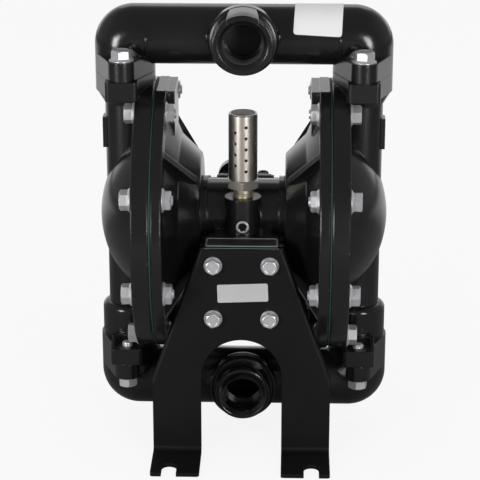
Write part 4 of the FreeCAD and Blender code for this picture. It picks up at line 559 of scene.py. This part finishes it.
def pipe_plug():
    """Socket plug in the front of the exhaust boss, its hexagon recess painted black as painted shade."""
    low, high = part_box("pipe_plug")
    face = Vector(((low[0] + high[0]) / 2, low[1], (low[2] + high[2]) / 2))
    radius, length, key = (high[0] - low[0]) / 2, high[1] - low[1], PLUG_KEY
    rings = [
        round_ring(radius - 0.0006, -length), round_ring(radius, -length + 0.0006), round_ring(radius, -0.0005),
        round_ring(radius - 0.0005, 0), round_ring(key * 0.66, 0), hex_ring(key, -0.0006), hex_ring(key, -0.004),
    ]
    builder = bmesh.new()
    add_turned(builder, rings, pointing(face, (0, -1, 0), math.radians(12)))
    plug = finish_piece("pipe_plug_detail", builder, ZINC, "pipe_plug")
    # The recess gets the black material as painted shade
    second_material(plug, BLACK_OXIDE_AND_RECESS_SHADE, lambda spot: (spot - face).xz.length < key * 0.6)


muffler()
pipe_plug()


# Diaphragms


def diaphragm_gores():
    """Cut each diaphragm into gores round the rod, and work out where each meets the plates and where its rim is
    clamped.
    """
    half = math.pi / GORES
    for side in ("left", "right"):
        name = "diaphragm_" + side
        source = bpy.data.objects[name].data
        for number in range(GORES):
            middle = (2 * number + 1) * half
            builder = bmesh.new()
            builder.from_mesh(source)
            for way in (-1, 1):
                edge = middle + way * half
                slice_by(builder, AXIS, (0, -way * math.sin(edge), way * math.cos(edge)), clear_outer=True)
            out = Vector((0, math.cos(middle), math.sin(middle)))
            reach = (AXIS + out * CLAMPED_RADIUS, AXIS + out * RIM_RADIUS * math.cos(half))
            finish_piece(f"{name}_gore_{number + 1}", builder, GREEN_RUBBER, name, bend=reach)


diaphragm_gores()


# Bare plates: rounded sheets laid on a face or wrapped round a tube


def rounded_outline(width, height, corner, steps=6):
    """Points of a rectangle with rounded corners, middle at zero."""
    points = []
    for middle_x, middle_y, first in ((1, 1, 0), (-1, 1, 90), (-1, -1, 180), (1, -1, 270)):
        for step in range(steps + 1):
            angle = math.radians(first + 90 * step / steps)
            points.append((middle_x * (width / 2 - corner) + corner * math.cos(angle),
                           middle_y * (height / 2 - corner) + corner * math.sin(angle)))
    return points


def sheet_piece(name, width, height, corner, thickness, columns, lay, material):
    """A thin sheet with rounded corners. lay puts (across, up, lift) on the surface that carries it."""
    builder = bmesh.new()
    flat = [builder.verts.new((x, y, 0)) for x, y in rounded_outline(width, height, corner)]
    builder.faces.new(flat)
    for index in range(1, columns):
        slice_by(builder, (0, -height / 2 + height * index / columns, 0), (0, 1, 0))
    raised = bmesh.ops.extrude_face_region(builder, geom=builder.faces[:])
    top = {item for item in raised["geom"] if isinstance(item, bmesh.types.BMVert)}
    for vert in builder.verts:
        vert.co = lay(vert.co.x, vert.co.y, thickness if vert in top else -0.0001)
    return finish_piece(name, builder, material, None, 40)


def bare_plates():
    """A plate on the bracket and a film label on the outlet's tube, both blank and a little askew."""
    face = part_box("front_gasket")[0][1] - BRACKET_SHEET
    plate_x, plate_z = 0.001, AXIS.z - 0.0399
    label_x, label_angle = 0.0542, math.radians(57)

    def askew(x, y, degrees):
        turned = Matrix.Rotation(math.radians(degrees), 2) @ Vector((x, y))
        return turned.x, turned.y

    def on_bracket(x, y, lift):
        across, up = askew(x, y, 2.2)
        return Vector((plate_x + across, face - lift, plate_z + up))

    def on_pipe(x, y, lift):
        across, along = askew(x, y, -3.0)
        angle = label_angle + along / MANIFOLD_RADIUS
        radius = MANIFOLD_RADIUS + lift
        return Vector((label_x + across, -radius * math.cos(angle), OUTLET_HEIGHT + radius * math.sin(angle)))

    sheet_piece("bare_plate", 0.0368, 0.0138, 0.0012, 0.0003, 1, on_bracket, PLATE)
    sheet_piece("bare_label", 0.0348, 0.0365, 0.0022, 0.00025, 14, on_pipe, LABEL)


def cast_border():
    """Bare cast panel with a raised border on the block's top, in front of the exhaust boss. The border is painted
    a lighter grey as a painted sheen.
    """
    front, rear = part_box("front_gasket")[1][1] + 0.0006, -0.0462
    width, depth, height, border = 0.053, rear - front, 0.0006, 0.0016

    def on_block(x, y, lift):
        return Vector((x, (front + rear) / 2 + y, BLOCK_TOP + lift))

    builder = bmesh.new()
    rows = []
    for inset, lift in ((0.0, -0.0002), (0.0001, height * 0.7), (0.0005, height), (0.0011, height),
                        (0.0015, height * 0.7), (border, -0.0002)):
        points = rounded_outline(width - inset * 2, depth - inset * 2, 0.0025 - inset, 5)
        rows.append([builder.verts.new(on_block(x, y, lift)) for x, y in points])
    join_rows(builder, rows + rows[:1], True)
    # The border's lighter grey is a painted sheen
    finish_piece("cast_border", builder, PAINTED_SHEEN_CASTING, None)
    sheet_piece("cast_panel", width - border * 2, depth - border * 2, 0.0012, 0.00025, 1, on_block, RAW_CASTING)


bare_plates()
cast_border()


# Threads cut in the two pipe ports


def port_threads():
    """A ridge of triangular section wound along each port's bore, fading in and out at its ends."""
    first, turns, steps, fading = -0.0350, 7, 72, 20
    section = ((0.0001, -0.0009), (-0.00065, -0.0001), (-0.00065, 0.0001), (0.0001, 0.0009))
    for name, centre in (("outlet", OUTLET_HEIGHT), ("inlet", INLET_HEIGHT)):
        builder = bmesh.new()
        rows = []
        for index in range(turns * steps + 1):
            angle = 2 * math.pi * index / steps
            depth = first + PORT_THREAD_PITCH * index / steps
            fade = min(1.0, index / fading, (turns * steps - index) / fading)
            row = []
            for inset, along in section:
                radius = PORT_BORE + inset * (fade if inset < 0 else 1)
                row.append(builder.verts.new((radius * math.cos(angle), depth + along,
                                              centre + radius * math.sin(angle))))
            rows.append(row)
        join_rows(builder, rows, True)
        builder.faces.new(rows[0])
        builder.faces.new(rows[-1][::-1])
        finish_piece(f"{name}_port_thread", builder, THREAD, None, 20)


port_threads()


# Cast details of the outlet manifold


def skin(name, rows, material, sharp=40):
    """A piece that is a skin through rows of points."""
    builder = bmesh.new()
    join_rows(builder, [[builder.verts.new(point) for point in row] for row in rows])
    return finish_piece(name, builder, material, None, sharp)


def port_land():
    """Land on top of the outlet's boss, from the wrench collar forward to the face. It is painted a lighter grey as
    a painted reflection.
    """
    # Depth, radius and half the angle that it spans, from the collar to the face
    profile = ((-0.0205, 0.02545, 22), (-0.0220, 0.02560, 23), (-0.0270, 0.02480, 26), (-0.0320, 0.02385, 30),
               (-0.0383, 0.02262, 34), (-0.0389, 0.02235, 34), (-0.0391, 0.02180, 34))
    half_steps, rolled, sink = 20, 0.1, 0.0038
    rows = []
    for step in range(2 * half_steps + 1):
        turn = -1 + step / half_steps
        edge = max(0.0, abs(turn) - (1 - rolled)) / rolled
        row = []
        for depth, radius, half_angle in profile:
            angle = math.radians(half_angle + 3 * edge) * turn
            radius -= sink * edge
            row.append((radius * math.sin(angle), depth, OUTLET_HEIGHT + radius * math.cos(angle)))
        rows.append(row)
    skin("outlet_port_painted_reflection", rows, PAINTED_SHEEN_CASTING)


def cast_nubs():
    """Stubs where the casting's gates were broken off, one each side of the outlet's collar."""
    rings = [round_ring(0.0019, -0.001), round_ring(0.0018, 0.0012), round_ring(0.0014, 0.0022),
             round_ring(0.0006, 0.0026)]
    taller = Matrix.Diagonal((1, 2.4, 1, 1))
    builder = bmesh.new()
    for side in (1, -1):
        place = pointing((side * 0.0256, -0.0212, OUTLET_HEIGHT + 0.0024), (side * 0.3, -1, 0))
        add_turned(builder, rings, place @ taller, 20)
    finish_piece("outlet_cast_nubs", builder, CASTING, None, 40)


def parting_beads():
    """Low bead round the lower front of the outlet's tube, where each elbow's core met the tube's."""
    steps, corners, fading = 24, 8, 4
    seam_x, half_width, height, bedding = 0.0701, 0.0012, 0.001, 0.0003
    for side, name in ((1, "right"), (-1, "left")):
        rows = []
        for step in range(steps + 1):
            angle = math.radians(12 - 66 * step / steps)
            taper = min(1.0, step / fading, (steps - step) / fading)
            row = []
            for corner in range(corners + 1):
                around = math.pi * corner / corners
                radius = MANIFOLD_RADIUS - bedding + height * taper * math.sin(around)
                row.append((side * seam_x + half_width * math.cos(around), -radius * math.cos(angle),
                            OUTLET_HEIGHT + radius * math.sin(angle)))
            rows.append(row)
        skin(f"outlet_bead_{name}", rows, CASTING)


def bore_skin():
    """Raw casting that shows inside the outlet, on the far wall of its tube."""
    steps, radius = 24, 0.0163
    rows = []
    for step in range(steps + 1):
        angle = math.radians(-100 + 200 * step / steps)
        rows.append([(across, radius * math.cos(angle), OUTLET_HEIGHT + radius * math.sin(angle))
                     for across in (-0.022, -0.011, 0.0, 0.011, 0.022)])
    skin("outlet_bore_skin", rows, BORE)


port_land()
cast_nubs()
parting_beads()
bore_skin()


# Studio


def mix_shaders(tree, share, first, second):
    node = tree.nodes.new("ShaderNodeMixShader")
    for source, socket in zip((share, first, second), node.inputs):
        link(tree, source, socket)
    return node.outputs["Shader"]


def white_world():
    """White behind the object. Reflections see grey at the sides, a dim ceiling and a dark front."""
    world = bpy.data.worlds.new("studio")
    bpy.context.scene.world = world
    world.use_nodes = True
    tree = world.node_tree
    tree.nodes.clear()
    where = tree.nodes.new("ShaderNodeTexCoord").outputs["Generated"]
    parts = tree.nodes.new("ShaderNodeSeparateXYZ")
    link(tree, where, parts.inputs["Vector"])
    beside = spread(tree, parts.outputs["Y"], FRONT_LIGHT, SIDE_LIGHT, -0.6, -0.1)
    behind = spread(tree, parts.outputs["Y"], 0.0, 1.0 - SIDE_LIGHT, 0.66, 0.78)
    behind = calculate(tree, "MULTIPLY", behind, spread(tree, parts.outputs["Z"], 1.0, BACK_LIGHT, 0.15, 0.3))
    around = calculate(tree, "ADD", beside, behind)
    walls = calculate(tree, "MULTIPLY", around, spread(tree, parts.outputs["Z"], 1.0, 0.0, 0.55, 0.9))
    room = calculate(tree, "ADD", walls, spread(tree, parts.outputs["Z"], 0.0, CEILING_LIGHT, 0.55, 0.9))
    soft, mirrored, seen = (add(tree, "ShaderNodeBackground", Color=(1, 1, 1, 1)) for _ in range(3))
    soft.inputs["Strength"].default_value = AMBIENT_LIGHT
    link(tree, room, mirrored.inputs["Strength"])
    rays = tree.nodes.new("ShaderNodeLightPath")
    indirect = mix_shaders(tree, rays.outputs["Is Glossy Ray"], soft.outputs["Background"],
                           mirrored.outputs["Background"])
    direct = calculate(tree, "MAXIMUM", rays.outputs["Is Camera Ray"], rays.outputs["Is Transmission Ray"])
    output = tree.nodes.new("ShaderNodeOutputWorld")
    link(tree, mix_shaders(tree, direct, indirect, seen.outputs["Background"]), output.inputs["Surface"])


def softbox(name, spot, size, power, look_at):
    lamp = bpy.data.lights.new(name, "AREA")
    lamp.shape = "RECTANGLE"
    lamp.size, lamp.size_y = size
    lamp.energy = power
    holder = bpy.data.objects.new(name, lamp)
    bpy.context.scene.collection.objects.link(holder)
    holder.location = spot
    holder.rotation_euler = (Vector(look_at) - Vector(spot)).to_track_quat("-Z", "Y").to_euler()


def floor():
    """Pale floor that keeps the object's shadow. Reflections see it bright only far behind the object."""
    mesh = bpy.data.meshes.new("floor")
    reach = 6.0
    mesh.from_pydata([(-reach, -reach, 0), (reach, -reach, 0), (reach, reach, 0), (-reach, reach, 0)], [],
                     [(0, 1, 2, 3)])
    slab = bpy.data.objects.new("floor", mesh)
    bpy.context.scene.collection.objects.link(slab)
    slab.location.z = -FLOOR_GAP
    material, tree = new_material("pale_floor")
    rays = tree.nodes.new("ShaderNodeLightPath")
    direct = calculate(tree, "MAXIMUM", rays.outputs["Is Camera Ray"], rays.outputs["Is Transmission Ray"])
    place = tree.nodes.new("ShaderNodeSeparateXYZ")
    link(tree, tree.nodes.new("ShaderNodeTexCoord").outputs["Object"], place.inputs["Vector"])
    behind = spread(tree, place.outputs["Y"], 0.0, 0.7, 0.3, 0.6)
    narrow = spread(tree, calculate(tree, "ABSOLUTE", place.outputs["X"], 0.0), 1.0, 0.0, 1.1, 1.6)
    bright = calculate(tree, "MULTIPLY", behind, narrow)
    mirrored = calculate(tree, "MULTIPLY", rays.outputs["Is Glossy Ray"], bright)
    share = calculate(tree, "MULTIPLY", calculate(tree, "MAXIMUM", direct, mirrored), FLOOR_GLOW)
    matte = tree.nodes.new("ShaderNodeBsdfDiffuse")
    link(tree, blend_colors(tree, direct, FLOOR_SHADED, FLOOR_SEEN), matte.inputs["Color"])
    glow = add(tree, "ShaderNodeEmission", Strength=1.0)
    output = tree.nodes.new("ShaderNodeOutputMaterial")
    link(tree, mix_shaders(tree, share, matte.outputs["BSDF"], glow.outputs["Emission"]), output.inputs["Surface"])
    mesh.materials.append(material)


def camera():
    data = bpy.data.cameras.new("camera")
    data.sensor_width = SENSOR_WIDTH
    data.lens = FOCAL_PIXELS / IMAGE_WIDTH * SENSOR_WIDTH
    holder = bpy.data.objects.new("camera", data)
    bpy.context.scene.collection.objects.link(holder)
    back = Vector((
        math.sin(CAMERA_YAW) * math.cos(CAMERA_PITCH),
        -math.cos(CAMERA_YAW) * math.cos(CAMERA_PITCH),
        math.sin(CAMERA_PITCH),
    ))
    holder.location = TARGET + back * CAMERA_DISTANCE
    holder.rotation_euler = (-back).to_track_quat("-Z", "Y").to_euler()
    bpy.context.scene.camera = holder


white_world()
floor()
camera()
for name, settings in LAMPS.items():
    softbox(name, *settings)
bpy.context.scene.view_settings.view_transform = "Standard"
